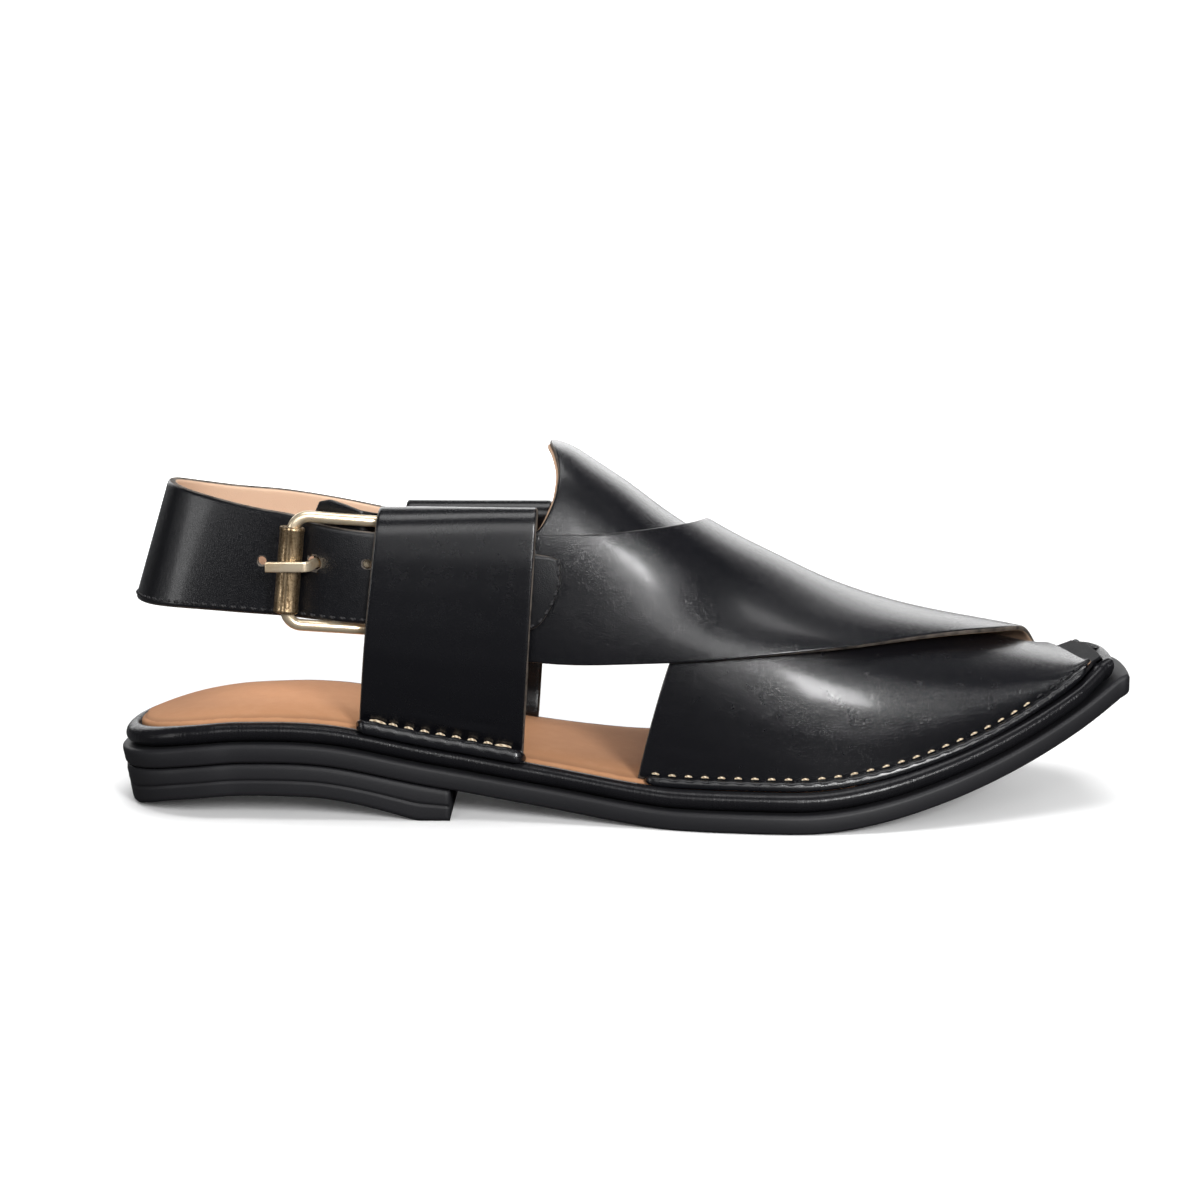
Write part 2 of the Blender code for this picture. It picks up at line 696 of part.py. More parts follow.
def make_strap_over():
    """The outer strap, from the medial foot across the instep to the lateral loop, its front edge lifted."""
    rows, cols = 25, 13
    x, across = band(STRAP_OVER_EDGES, rows, cols, foot_rows=True)
    lengthwise = np.append(np.linspace(0, 1, rows), 1.0)[:, None]
    crosswise = np.linspace(0, 1, cols)[None, :]
    seat = column_curve(STRAP_OVER_EDGES, 4, lengthwise)
    rise = column_curve(STRAP_OVER_EDGES, 5, lengthwise) * ease(1 - crosswise / 0.45)
    lift = column_curve(STRAP_OVER_EDGES, 6, lengthwise) * ease((crosswise - 0.50) / 0.50)
    off = (seat + rise + lift) * LEATHER
    base = last_surface(x, across)
    normal = outward(base)
    inner = base + normal * off[:, :, None]
    return shell("strap_over", inner + normal * LEATHER, inner, "upper_leather")


def join(target, others):
    """Fuses other solids into a target with Boolean unions, and removes them."""
    for other in others:
        fuse = target.modifiers.new("join_" + other.name, "BOOLEAN")
        fuse.operation = "UNION"
        fuse.solver = "EXACT"
        fuse.object = other
        other.hide_render = True
        other.display_type = "WIRE"


def make_upper():
    """The upper: vamp, tongue and outer strap as one piece, joined where they cross."""
    upper = make_vamp()
    join(upper, [make_tongue(), make_strap_over()])
    return upper


TAIL_OVER = 0.74 * LEATHER + LEATHER
STRAP_OFF = {
    LATERAL: TAIL_OVER + FIT_GAP + STRAP_THICK / 2,
    MEDIAL: LEATHER - TONGUE_SINK + FIT_GAP + STRAP_THICK / 2,
}


def strap_column(column, shares):
    """A column of the heel strap's table at shares of its length."""
    return column_curve(HEEL_STRAP, column, shares)


def strap_mid(rows=52, cols=5):
    """The middle surface of the heel strap, as a grid of points from its medial end to its tip."""
    shares = np.linspace(0, 1, rows)[:, None]
    down = np.linspace(0, 1, cols)[None, :]
    x = at_share(strap_column(0, shares) * (1 - down) + strap_column(3, shares) * down)
    z = (strap_column(2, shares) * (1 - down) + strap_column(5, shares) * down) * STRAP_TOP
    free = (strap_column(1, shares) * (1 - down) + strap_column(4, shares) * down) * BALL_WIDTH
    lying = np.where(
        shares < 0.5,
        beside(x, z, MEDIAL, STRAP_OFF[MEDIAL]),
        beside(x, z, LATERAL, STRAP_OFF[LATERAL]),
    )
    lie = strap_column(6, shares)
    return np.stack([x, free * (1 - lie) + lying * lie, z], axis=-1)


def strap_outward(grid):
    """Unit normals of the heel strap, facing away from the ankle."""
    normal = np.cross(np.gradient(grid, axis=0), np.gradient(grid, axis=1))
    normal /= np.linalg.norm(normal, axis=2)[:, :, None]
    return normal * np.sign((normal * grid)[:, :, 1].sum())


PRONG_HOLE_X = float(at_share(0.2110))
HOLE_Z = 0.0760


def strap_at(x):
    """The heel strap's middle y at x, on the lateral side half way up."""
    grid = strap_mid(rows=240, cols=3)[:, 1, :]
    lateral = grid[grid[:, 1] < 0]
    order = np.argsort(lateral[:, 0])
    return float(np.interp(x, lateral[order, 0], lateral[order, 1]))


def rod(name, start, end, radius, sides=12):
    """A plain rod from start to end, hidden, for cutting."""
    first_end, last_end = np.array(start, float), np.array(end, float)
    axis = last_end - first_end
    axis /= np.linalg.norm(axis)
    first = np.cross(axis, (0, 0, 1) if abs(axis[2]) < 0.9 else (1, 0, 0))
    first /= np.linalg.norm(first)
    second = np.cross(axis, first)
    turn = np.linspace(0, 2 * math.pi, sides, endpoint=False)[:, None]
    circle = np.cos(turn) * first + np.sin(turn) * second
    points = np.vstack([first_end + circle * radius, last_end + circle * radius])
    faces = [tuple(range(sides)), tuple(range(2 * sides - 1, sides - 1, -1))]
    faces += [(k, (k + 1) % sides, sides + (k + 1) % sides, sides + k) for k in range(sides)]
    thing = solid(name, points, faces, "strap_leather")
    thing.hide_render = True
    thing.display_type = "WIRE"
    return thing


def cut(target, cutter):
    """Takes a cutter out of a target."""
    slot = target.modifiers.new("cut_" + cutter.name, "BOOLEAN")
    slot.operation = "DIFFERENCE"
    slot.solver = "EXACT"
    slot.object = cutter


def make_heel_strap():
    """The lined heel strap, with its row of prong holes."""
    middle = strap_mid()
    half = strap_outward(middle) * STRAP_THICK / 2
    strap = shell("heel_strap", middle + half, middle - half, "strap_leather")
    for k in range(HOLE_COUNT):
        x = PRONG_HOLE_X + (k - 1) * HOLE_PITCH
        y = strap_at(x)
        reach = 2.5 * STRAP_THICK
        radius = PRONG_HOLE_RADIUS if k == 1 else HOLE_RADIUS
        cut(strap, rod(f"strap_hole_{k}", (x, y - reach, HOLE_Z), (x, y + reach, HOLE_Z), radius))
    return strap


LOOP_STAND_OFF = {
    side: STRAP_OFF[side] + STRAP_THICK / 2 + 2 * FIT_GAP + LOOP_LEATHER / 2 for side in (LATERAL, MEDIAL)
}
LOOP_INNER_OFF = TONGUE_SINK + FIT_GAP + LOOP_LEATHER / 2
LOOP_TOP = {LATERAL: LATERAL_LOOP_TOP, MEDIAL: MEDIAL_LOOP_TOP}
LOOP_FRONT = {LATERAL: 0.4059, MEDIAL: 0.4158}


def loop_path(across, side):
    """One slice of a side loop: flange, outer leaf, fold and inner leaf, down to the insole."""
    x_foot = float(at_share(LOOP_FRONT[side])) - LOOP_WIDTH * (1 - across)
    lean = LOOP_LEAN_BACK * (1 - across) + LOOP_LEAN_FRONT * across
    room = BUCKLE_ROOM * (1 - ease(across / 0.9)) if side == LATERAL else 0.0
    outer, inner = LOOP_STAND_OFF[side], -LOOP_INNER_OFF - room
    radius = (LOOP_STAND_OFF[side] + LOOP_INNER_OFF) / 2
    low = float(foot_height(x_foot)) + LOOP_LEATHER / 2
    high = LOOP_TOP[side] - LOOP_LEATHER / 2 - radius
    path = [(x_foot, float(last_side(x_foot, low, side)) + side * FLANGE, low)]
    for share, reach in LOOP_LEAF:
        z = low + share * (high - low)
        x = x_foot + lean * (z - low)
        path.append((x, float(beside(x, z, side, outer * reach)), z))
    x_top, top_y = path[-1][:2]
    inner_top = float(beside(x_top, high, side, inner))
    middle, half = (top_y + inner_top) / 2, abs(top_y - inner_top) / 2
    for deg in (25, 50, 75, 105, 130, 155):
        turn = math.radians(deg)
        x = x_top + lean * radius * math.sin(turn)
        path.append((x, middle + side * half * math.cos(turn), high + radius * math.sin(turn)))
    for share, reach in reversed(LOOP_LEAF):
        z = low + share * (high - low) - (LOOP_LEATHER / 2 if share == 0 else 0)
        x = x_foot + lean * (z - low)
        foot_room = -LOOP_LEATHER * 1.25 * (1 - ease(share / 0.15))
        off = inner * (0.25 + 0.75 * reach) + foot_room
        path.append((x, float(beside(x, z, side, off)), z))
    return np.array(path)


def make_loop(name, side):
    """A side loop: a strip stitched to the sole, folded over the straps and stitched down inside."""
    cols = 9
    slices = [loop_path(k / (cols - 1), side) for k in range(cols)]
    middle = np.stack(slices, axis=1)
    normal = np.cross(np.gradient(middle, axis=0), np.gradient(middle, axis=1))
    normal /= np.linalg.norm(normal, axis=2)[:, :, None]
    half = normal * LOOP_LEATHER / 2
    return shell(name, middle + half, middle - half, "loop_leather")


ROLLER_X = float(at_share(0.1888))
BUCKLE_Z = 0.0745
BUCKLE_TILT = math.radians(-6.0)


def buckle_frame_axes():
    """The buckle's middle at the roller bar, and unit vectors towards the hinge bar and up the bars."""
    roller = np.array((ROLLER_X, strap_at(ROLLER_X) - STRAP_THICK / 2 - 3 * FIT_GAP - ROLLER_RADIUS, BUCKLE_Z))
    hinge_x = ROLLER_X + BUCKLE_LENGTH - 2 * WIRE_RADIUS
    hinge_y = strap_at(hinge_x) + STRAP_THICK / 2 + 4 * FIT_GAP + PRONG_THICK + WIRE_RADIUS
    run = np.array((hinge_x - ROLLER_X, hinge_y - roller[1], 0.0))
    run = run / np.linalg.norm(run)
    up = np.array((0.0, 0.0, 1.0))
    c, s = math.cos(BUCKLE_TILT), math.sin(BUCKLE_TILT)
    return roller, run * c + up * s, up * c - run * s


def sweep(name, path, radius, finish, sides=8, closed=True):
    """A round wire along a path of points in one plane."""
    path = np.array(path)
    count = len(path)
    ahead = np.roll(path, -1, axis=0) - np.roll(path, 1, axis=0)
    if not closed:
        ahead[0], ahead[-1] = path[1] - path[0], path[-1] - path[-2]
    ahead /= np.linalg.norm(ahead, axis=1)[:, None]
    flat = np.cross(path[1] - path[0], path[count // 2] - path[0])
    flat /= np.linalg.norm(flat)
    side = np.cross(ahead, flat)
    turn = np.linspace(0, 2 * math.pi, sides, endpoint=False)
    rows = [path + radius * (math.cos(a) * side + math.sin(a) * flat) for a in turn]
    points = np.stack(rows, axis=1).reshape(-1, 3)
    faces = []
    for i in range(count if closed else count - 1):
        for j in range(sides):
            here, there = i * sides, (i + 1) % count * sides
            after = (j + 1) % sides
            faces.append((here + j, here + after, there + after, there + j))
    if not closed:
        faces.append(tuple(range(sides)))
        faces.append(tuple((count - 1) * sides + k for k in range(sides - 1, -1, -1)))
    return solid(name, points, faces, finish)


def make_buckle_frame():
    """The buckle's wire frame: a rectangle with round corners."""
    roller, run, up = buckle_frame_axes()
    long_side = BUCKLE_LENGTH - 2 * WIRE_RADIUS
    half = BUCKLE_HEIGHT / 2 - WIRE_RADIUS
    bend = 0.0030
    corners = ((0, -half, 180), (long_side, -half, 270), (long_side, half, 0), (0, half, 90))
    path = []
    for across, height, start in corners:
        centre_a = across + (bend if across == 0 else -bend)
        centre_h = height + (bend if height < 0 else -bend)
        for step in range(5):
            turn = math.radians(start + 90 * step / 4)
            a = centre_a + bend * math.cos(turn)
            h = centre_h + bend * math.sin(turn)
            path.append(roller + run * a + up * h)
    return sweep("buckle_frame", path, WIRE_RADIUS, "buckle_brass")


def tube(name, low, high, inner, outer, finish, sides=16):
    """A plain tube between two points."""
    axis = (high - low) / np.linalg.norm(high - low)
    first = np.cross(axis, (1, 0, 0))
    first /= np.linalg.norm(first)
    second = np.cross(axis, first)
    turn = np.linspace(0, 2 * math.pi, sides, endpoint=False)[:, None]
    circle = np.cos(turn) * first + np.sin(turn) * second
    loops = [low + circle * inner, low + circle * outer, high + circle * outer, high + circle * inner]
    points = np.vstack(loops)
    faces = []
    for i in range(4):
        for j in range(sides):
            after = (j + 1) % sides
            here, there = i * sides, (i + 1) % 4 * sides
            faces.append((here + j, here + after, there + after, there + j))
    return solid(name, points, faces, finish)


def make_roller():
    """The brass roller on the buckle's front bar."""
    roller, _, up = buckle_frame_axes()
    half = up * ROLLER_LENGTH / 2
    return tube("buckle_roller", roller - half, roller + half, WIRE_RADIUS + FIT_GAP, ROLLER_RADIUS, "roller_brass")


def make_prong():
    """The prong: an eye round the hinge bar, then a flat bar through the strap's hole and over the roller."""
    roller, run, up = buckle_frame_axes()
    long_side = BUCKLE_LENGTH - 2 * WIRE_RADIUS
    level = HOLE_Z
    eye = roller + run * long_side
    eye = eye + up * (level - eye[2]) / up[2]
    hole = np.array((PRONG_HOLE_X, strap_at(PRONG_HOLE_X), level))
    clear = ROLLER_RADIUS + FIT_GAP + PRONG_THICK / 2
    eye_gap = WIRE_RADIUS + FIT_GAP + PRONG_THICK / 2
    inside = STRAP_THICK / 2 + 2 * FIT_GAP + PRONG_THICK / 2
    outside = STRAP_THICK / 2 + PRONG_THICK
    line = [
        (eye[0] - 0.0100, strap_at(eye[0] - 0.0100) + inside + 0.0004),
        (hole[0] + 0.0027, strap_at(hole[0] + 0.0027) + inside),
        (hole[0] + 0.0010, hole[1] + STRAP_THICK / 2 + 2 * FIT_GAP),
        (hole[0] + 0.0001, hole[1]),
        (hole[0] - 0.0008, hole[1] - outside),
    ]
    for deg in (34, 58, 84):
        bend = math.radians(deg)
        line.append((roller[0] + clear * math.cos(bend), roller[1] - clear * math.sin(bend) - 0.0001))
    line.append((roller[0] - 0.0020, roller[1] - clear - 0.0001))
    line.append((roller[0] - 0.0058, roller[1] - clear + 0.0006))
    turn = np.radians(np.linspace(205, 540, 11))
    ring_line = [(eye[0] + eye_gap * math.cos(a), eye[1] - eye_gap * math.sin(a)) for a in turn]
    plan = np.array(ring_line + line)
    ahead = np.gradient(plan, axis=0)
    ahead /= np.linalg.norm(ahead, axis=1)[:, None]
    across = np.column_stack([-ahead[:, 1], ahead[:, 0]])
    half = PRONG_THICK / 2
    outer, inner = plan + across * half, plan - across * half
    heights = (level - PRONG_WIDTH / 2, level + PRONG_WIDTH / 2)
    top = np.stack([np.column_stack([outer, np.full(len(plan), z)]) for z in heights], axis=1)
    low = np.stack([np.column_stack([inner, np.full(len(plan), z)]) for z in heights], axis=1)
    return shell("buckle_prong", top, low, "buckle_brass")


def make_chape():
    """The guard flap behind the buckle: it starts inside the loop, passes the eye and backs the strap."""
    roller, run, up = buckle_frame_axes()
    eye = roller + run * (BUCKLE_LENGTH - 2 * WIRE_RADIUS)
    past_eye = WIRE_RADIUS + 2 * FIT_GAP + PRONG_THICK + CHAPE_THICK / 2
    behind = STRAP_THICK / 2 + PRONG_THICK + 4 * FIT_GAP + CHAPE_THICK / 2
    plan = [(eye[0] + 0.0060, eye[1] + past_eye), (eye[0] + 0.0025, eye[1] + past_eye)]
    plan.append((eye[0] - 0.0010, eye[1] + past_eye))
    for step in (0.35, 0.55, 0.75, 0.90, 1.00):
        x = eye[0] - CHAPE_REACH * step
        plan.append((x, strap_at(x) + behind + 0.0008 * ease((1 - step) / 0.5)))
    plan = np.array(plan)
    rounding = np.array((0.72, 0.74, 0.76, 0.84, 0.93, 1.00, 0.94, 0.62))
    ahead = np.gradient(plan, axis=0)
    ahead /= np.linalg.norm(ahead, axis=1)[:, None]
    across = np.column_stack([-ahead[:, 1], ahead[:, 0]]) * CHAPE_THICK / 2
    rise = np.linspace(-0.5, 0.5, 4)
    level = eye[2] + CHAPE_RISE - CHAPE_SLOPE * (plan[:, 0] - eye[0])

    def side(offset):
        """The flap's points on one face."""
        shifted = plan + offset
        heights = level[:, None] + CHAPE_HEIGHT * rounding[:, None] * rise[None, :]
        flat = np.repeat(shifted[:, None, :], len(rise), axis=1)
        return np.concatenate([flat, heights[:, :, None]], axis=2)

    return shell("buckle_chape", side(across), side(-across), "strap_leather")


def main():
    clear_scene()
    make_outsole()
    make_heel()
    make_footbed()
    make_insole()
    make_upper()
    make_loop("lateral_loop", LATERAL)
    make_loop("medial_loop", MEDIAL)
    make_heel_strap()
    make_buckle_frame()
    make_roller()
    make_prong()
    make_chape()


main()
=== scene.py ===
"""Looks of the peshawari chappal, right shoe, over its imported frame.

Every piece is a surface of two parameters. The sheets of the upper lie on one surface, the last, given by
short tables along the sole. Metres, +Z up, +X towards the toe, -Y the outer side.
"""

import functools
import math

import bmesh
import bpy
import numpy as np
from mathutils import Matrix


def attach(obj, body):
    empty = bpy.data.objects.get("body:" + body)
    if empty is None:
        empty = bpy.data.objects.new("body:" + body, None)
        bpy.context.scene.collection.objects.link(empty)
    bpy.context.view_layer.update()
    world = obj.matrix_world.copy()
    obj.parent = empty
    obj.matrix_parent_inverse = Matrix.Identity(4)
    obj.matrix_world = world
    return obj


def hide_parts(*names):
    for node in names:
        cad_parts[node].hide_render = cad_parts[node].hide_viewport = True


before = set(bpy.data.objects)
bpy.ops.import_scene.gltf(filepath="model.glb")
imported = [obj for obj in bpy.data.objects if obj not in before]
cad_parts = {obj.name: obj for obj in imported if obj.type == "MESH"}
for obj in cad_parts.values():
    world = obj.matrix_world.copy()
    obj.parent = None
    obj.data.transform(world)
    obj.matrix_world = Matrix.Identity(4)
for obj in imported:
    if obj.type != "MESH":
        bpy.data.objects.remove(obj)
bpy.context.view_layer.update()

SOFTNESS = 0.012

# Driving sizes of the sole
LENGTH = 0.304
BALL_WIDTH = 0.098
TOE_SPRING = 0.0355
SEAT_RISE = 0.0171
OUTSOLE_THICK = 0.0056
FOOTBED_THICK = 0.0056
INSOLE_THICK = 0.0024
INSOLE_PROUD = 0.0006
INSOLE_CROWN = 0.0012
HEEL_ARCH = 0.0072
HEEL_FLAT = 0.0085
HEEL_LENGTH = 0.102
REAR_RAKE = 0.19
HEEL_ROUND = 0.034
TOE_SKEW = 0.0016
FIT_GAP = 0.0003

# Driving sizes of the upper
INSTEP_HEIGHT = 0.1074
LEATHER = 0.0018
FOOT_INSET = 0.0092
FLANGE = 0.0028
FLANGE_SHARE = 0.1
VAMP_REACH = 0.62
TONGUE_SINK = 0.0009

# Driving sizes of the heel strap, its loops and the buckle
STRAP_THICK = 0.0026
STRAP_TOP = 0.0968
HOLE_RADIUS = 0.0014
PRONG_HOLE_RADIUS = 0.0021
HOLE_PITCH = 0.0155
HOLE_COUNT = 3
LOOP_WIDTH = 0.0478
LOOP_LEATHER = 0.0020
LATERAL_LOOP_TOP = 0.0920
MEDIAL_LOOP_TOP = 0.0870
LOOP_LEAN_BACK = 0.112
LOOP_LEAN_FRONT = 0.066
BUCKLE_ROOM = 0.0046
BUCKLE_HEIGHT = 0.0345
BUCKLE_LENGTH = 0.0310
WIRE_RADIUS = 0.0016
ROLLER_RADIUS = 0.0035
ROLLER_LENGTH = 0.0248
PRONG_WIDTH = 0.0025
PRONG_THICK = 0.0010
CHAPE_THICK = 0.0012
CHAPE_HEIGHT = 0.0300
CHAPE_REACH = 0.0215
CHAPE_RISE = 0.0016
CHAPE_SLOPE = 0.078

LATERAL = -1
MEDIAL = 1
HEEL_X = -LENGTH / 2
TOE_X = LENGTH / 2
SEAT_CENTRE_X = HEEL_X + HEEL_ROUND
BREAST_X = HEEL_X + HEEL_LENGTH
SPINE_END_X = TOE_X - 0.085 * LENGTH

# The outsole's plan: along is a share of LENGTH from the heel, the widths are shares of BALL_WIDTH.
SOLE_PLAN = (
    # along, lateral, medial
    (0.125, 0.332, 0.330), (0.178, 0.345, 0.337), (0.260, 0.349, 0.331), (0.342, 0.352, 0.318),
    (0.425, 0.376, 0.321), (0.507, 0.423, 0.357), (0.588, 0.478, 0.423), (0.664, 0.500, 0.480),
    (0.729, 0.482, 0.500), (0.803, 0.424, 0.482), (0.882, 0.334, 0.410), (0.946, 0.247, 0.322),
    (0.990, 0.187, 0.232),
)

# The underside's height: seat is a share of SEAT_RISE, spring a share of TOE_SPRING.
SOLE_PROFILE = (
    # along, seat, spring
    (0.000, 0.632, 0.000), (0.046, 0.784, 0.000), (0.079, 0.889, 0.000), (0.129, 0.982, 0.000),
    (0.174, 1.000, 0.000), (0.211, 0.965, 0.000), (0.243, 0.877, 0.000), (0.277, 0.749, 0.000),
    (0.312, 0.620, 0.000), (0.342, 0.526, 0.000), (0.375, 0.421, 0.000), (0.421, 0.292, 0.000),
    (0.467, 0.165, 0.000), (0.513, 0.052, 0.000), (0.549, 0.000, 0.000), (0.671, 0.000, 0.000),
    (0.704, 0.000, 0.018), (0.737, 0.000, 0.062), (0.773, 0.000, 0.127), (0.806, 0.000, 0.203),
    (0.852, 0.000, 0.332), (0.901, 0.000, 0.504), (0.951, 0.000, 0.721), (1.000, 0.000, 1.000),
)

# The heel block's hollow underside: along is a share of HEEL_LENGTH, lift a share of HEEL_ARCH.
HEEL_PROFILE = (
    # along, lift
    (0.000, 0.00), (0.055, 0.00), (0.110, 0.25), (0.190, 0.60), (0.270, 0.80), (0.350, 0.94),
    (0.490, 1.00), (0.600, 0.96), (0.680, 0.82), (0.790, 0.48), (0.860, 0.20), (0.915, 0.00),
    (1.000, 0.00),
)

# The last: ridge_y, spread and bulge are shares of BALL_WIDTH, ridge_z of INSTEP_HEIGHT.
LAST = (
    # along, ridge_y, ridge_z, spread, bulge, squareness
    (0.211, 0.000, 1.010, 0.037, 0.041, 0.60),
    (0.339, 0.000, 1.010, 0.037, 0.041, 0.60),
    (0.393, 0.004, 1.005, 0.035, 0.041, 0.60),
    (0.430, 0.008, 1.000, 0.032, 0.041, 0.62),
    (0.445, 0.010, 0.992, 0.029, 0.041, 0.64),
    (0.471, 0.012, 0.946, 0.023, 0.041, 0.68),
    (0.507, 0.014, 0.879, 0.012, 0.041, 0.74),
    (0.542, 0.017, 0.803, 0.003, 0.041, 0.80),
    (0.578, 0.020, 0.737, 0.000, 0.041, 0.86),
    (0.612, 0.025, 0.686, 0.000, 0.041, 0.92),
    (0.649, 0.030, 0.645, 0.000, 0.039, 0.97),
    (0.706, 0.035, 0.578, 0.000, 0.036, 1.00),
    (0.754, 0.040, 0.527, 0.000, 0.033, 1.00),
    (0.802, 0.042, 0.481, 0.000, 0.030, 1.00),
    (0.849, 0.040, 0.444, 0.000, 0.024, 1.00),
    (0.891, 0.036, 0.417, 0.000, 0.016, 1.00),
    (0.937, 0.030, 0.390, 0.000, 0.006, 1.00),
    (0.970, 0.025, 0.378, 0.000, 0.000, 1.00),
)
LAST_DROP_POWER = 0.8

# The front vamp's back and front edges: across runs from -1 at the lateral foot to 1 at the medial one.
VAMP_EDGES = (
    # across, back, front
    (-1.00, 0.516, 0.962), (-0.95, 0.523, 0.962), (-0.88, 0.531, 0.962), (-0.74, 0.545, 0.961),
    (-0.50, 0.570, 0.959), (-0.20, 0.595, 0.955), (0.10, 0.608, 0.950), (0.50, 0.615, 0.944),
    (1.00, 0.612, 0.940),
)

# The tongue saddle, from its lateral tail over the instep to its medial tail.
TONGUE_EDGES = (
    # back, back_across, front, front_across
    (0.388, -0.535, 0.396, -0.700),
    (0.405, -0.530, 0.430, -0.700),
    (0.420, -0.515, 0.490, -0.680),
    (0.431, -0.450, 0.555, -0.600),
    (0.438, -0.365, 0.600, -0.500),
    (0.440, -0.270, 0.622, -0.370),
    (0.436, -0.140, 0.636, -0.180),
    (0.430, 0.020, 0.642, 0.020),
    (0.434, 0.170, 0.645, 0.200),
    (0.440, 0.300, 0.645, 0.380),
    (0.442, 0.410, 0.638, 0.530),
    (0.437, 0.522, 0.610, 0.660),
    (0.416, 0.560, 0.530, 0.735),
    (0.378, 0.570, 0.440, 0.760),
    (0.343, 0.570, 0.354, 0.765),
)

# The outer strap, from its lateral tail over the instep to the medial foot. seat, rise and lift are shares
# of LEATHER: how far its inner face stands off the last in the middle, at the back edge and at the front.
STRAP_OVER_EDGES = (
    # back, back_across, front, front_across, seat, rise, lift
    (0.350, -0.522, 0.350, -0.838, 0.74, 0.00, 0.00),
    (0.388, -0.527, 0.390, -0.840, 0.74, 0.00, 0.00),
    (0.423, -0.529, 0.440, -0.838, 0.76, 0.04, 0.02),
    (0.458, -0.497, 0.518, -0.770, 0.80, 0.22, 0.40),
    (0.488, -0.437, 0.590, -0.683, 0.80, 0.45, 1.20),
    (0.515, -0.362, 0.655, -0.608, 0.74, 0.85, 1.85),
    (0.538, -0.272, 0.715, -0.530, 0.66, 1.30, 2.20),
    (0.556, -0.180, 0.772, -0.430, 0.60, 1.55, 2.25),
    (0.568, -0.085, 0.825, -0.310, 0.58, 1.65, 2.25),
    (0.576, 0.020, 0.868, -0.175, 0.56, 1.70, 2.20),
    (0.582, 0.140, 0.894, 0.010, 0.56, 1.65, 2.10),
    (0.588, 0.290, 0.910, 0.240, 0.56, 1.45, 1.90),
    (0.592, 0.460, 0.922, 0.480, 0.56, 1.00, 1.30),
    (0.590, 0.640, 0.930, 0.700, 0.56, 0.50, 0.60),
    (0.584, 0.820, 0.934, 0.880, 0.56, 0.15, 0.15),
    (0.577, 1.000, 0.936, 1.000, 0.56, 0.00, 0.00),
)

# The heel strap from its medial end round the heel to the lateral tip. The x values are shares of LENGTH
# from the heel, y of BALL_WIDTH, and the heights of STRAP_TOP. Lie is the share by which a place
# follows the last's side in place of its y.
HEEL_STRAP = (
    # top_x, top_y, top_z, low_x, low_y, low_z, lie
    (0.373, 0.300, 0.820, 0.370, 0.350, 0.600, 1.0),
    (0.299, 0.300, 0.848, 0.297, 0.345, 0.596, 1.0),
    (0.262, 0.294, 0.868, 0.258, 0.312, 0.594, 1.0),
    (0.225, 0.294, 0.893, 0.220, 0.314, 0.592, 0.0),
    (0.158, 0.262, 0.933, 0.144, 0.290, 0.600, 0.0),
    (0.109, 0.207, 0.954, 0.085, 0.245, 0.610, 0.0),
    (0.074, 0.122, 0.980, 0.043, 0.158, 0.620, 0.0),
    (0.059, 0.000, 1.000, 0.022, 0.000, 0.624, 0.0),
    (0.074, -0.127, 0.991, 0.043, -0.165, 0.632, 0.0),
    (0.109, -0.205, 0.968, 0.085, -0.250, 0.634, 0.0),
    (0.158, -0.268, 0.940, 0.146, -0.293, 0.627, 0.0),
    (0.188, -0.295, 0.928, 0.181, -0.308, 0.622, 0.0),
    (0.223, -0.318, 0.896, 0.220, -0.334, 0.614, 0.3),
    (0.272, -0.334, 0.876, 0.270, -0.355, 0.605, 1.0),
    (0.329, -0.360, 0.862, 0.327, -0.370, 0.598, 1.0),
    (0.393, -0.370, 0.829, 0.391, -0.380, 0.590, 1.0),
    (0.418, -0.370, 0.816, 0.416, -0.380, 0.594, 1.0),
    (0.433, -0.370, 0.808, 0.433, -0.380, 0.655, 1.0),
    (0.442, -0.370, 0.796, 0.442, -0.380, 0.735, 1.0),
)

# The leaves of a side loop: height is a share of the way from foot to fold, reach of the stand-off.
LOOP_LEAF = (
    # height, reach
    (0.000, 0.00), (0.040, 0.16), (0.120, 0.38), (0.260, 0.70), (0.400, 0.93), (0.550, 1.00),
    (0.700, 1.00), (0.860, 1.00), (1.000, 1.00),
)


def unit(vectors):
    """Vectors divided by their lengths."""
    return vectors / np.maximum(np.linalg.norm(vectors, axis=-1, keepdims=True), 1e-12)


def reach_of(path):
    """The length along a path at each of its points."""
    return np.concatenate([[0], np.cumsum(np.linalg.norm(np.diff(path, axis=0), axis=1))])


def read_path(places, reach, path):
    """The points of a path at places along it, between its own points on straight lines."""
    return np.stack([np.interp(places, reach, column) for column in path.T], axis=-1)


def relax(line, rounds):
    """Each inner point of a line moved halfway to the middle of its neighbours, some rounds over."""
    for _ in range(rounds):
        line[1:-1] = line[1:-1] * 0.5 + (line[:-2] + line[2:]) * 0.25
    return line


def circle(sides):
    """The points of a circle of radius 1."""
    turn = np.linspace(0, 2 * math.pi, sides, endpoint=False)
    return np.stack([np.cos(turn), np.sin(turn)], axis=1)


@functools.lru_cache(maxsize=None)
def slopes(table, column, key):
    """The rows of a table column and their slopes for a monotone cubic, level where two rows are equal."""
    xs = np.array([row[key] for row in table], float)
    ys = np.array([row[column] for row in table], float)
    step = np.diff(xs)
    rise = np.diff(ys) / step
    slope = np.zeros(len(xs))
    slope[0], slope[-1] = rise[0], rise[-1]
    for k in range(1, len(xs) - 1):
        if rise[k - 1] * rise[k] > 0:
            before, after = 2 * step[k] + step[k - 1], step[k] + 2 * step[k - 1]
            slope[k] = (before + after) / (before / rise[k - 1] + after / rise[k])
    return xs, ys, step, slope


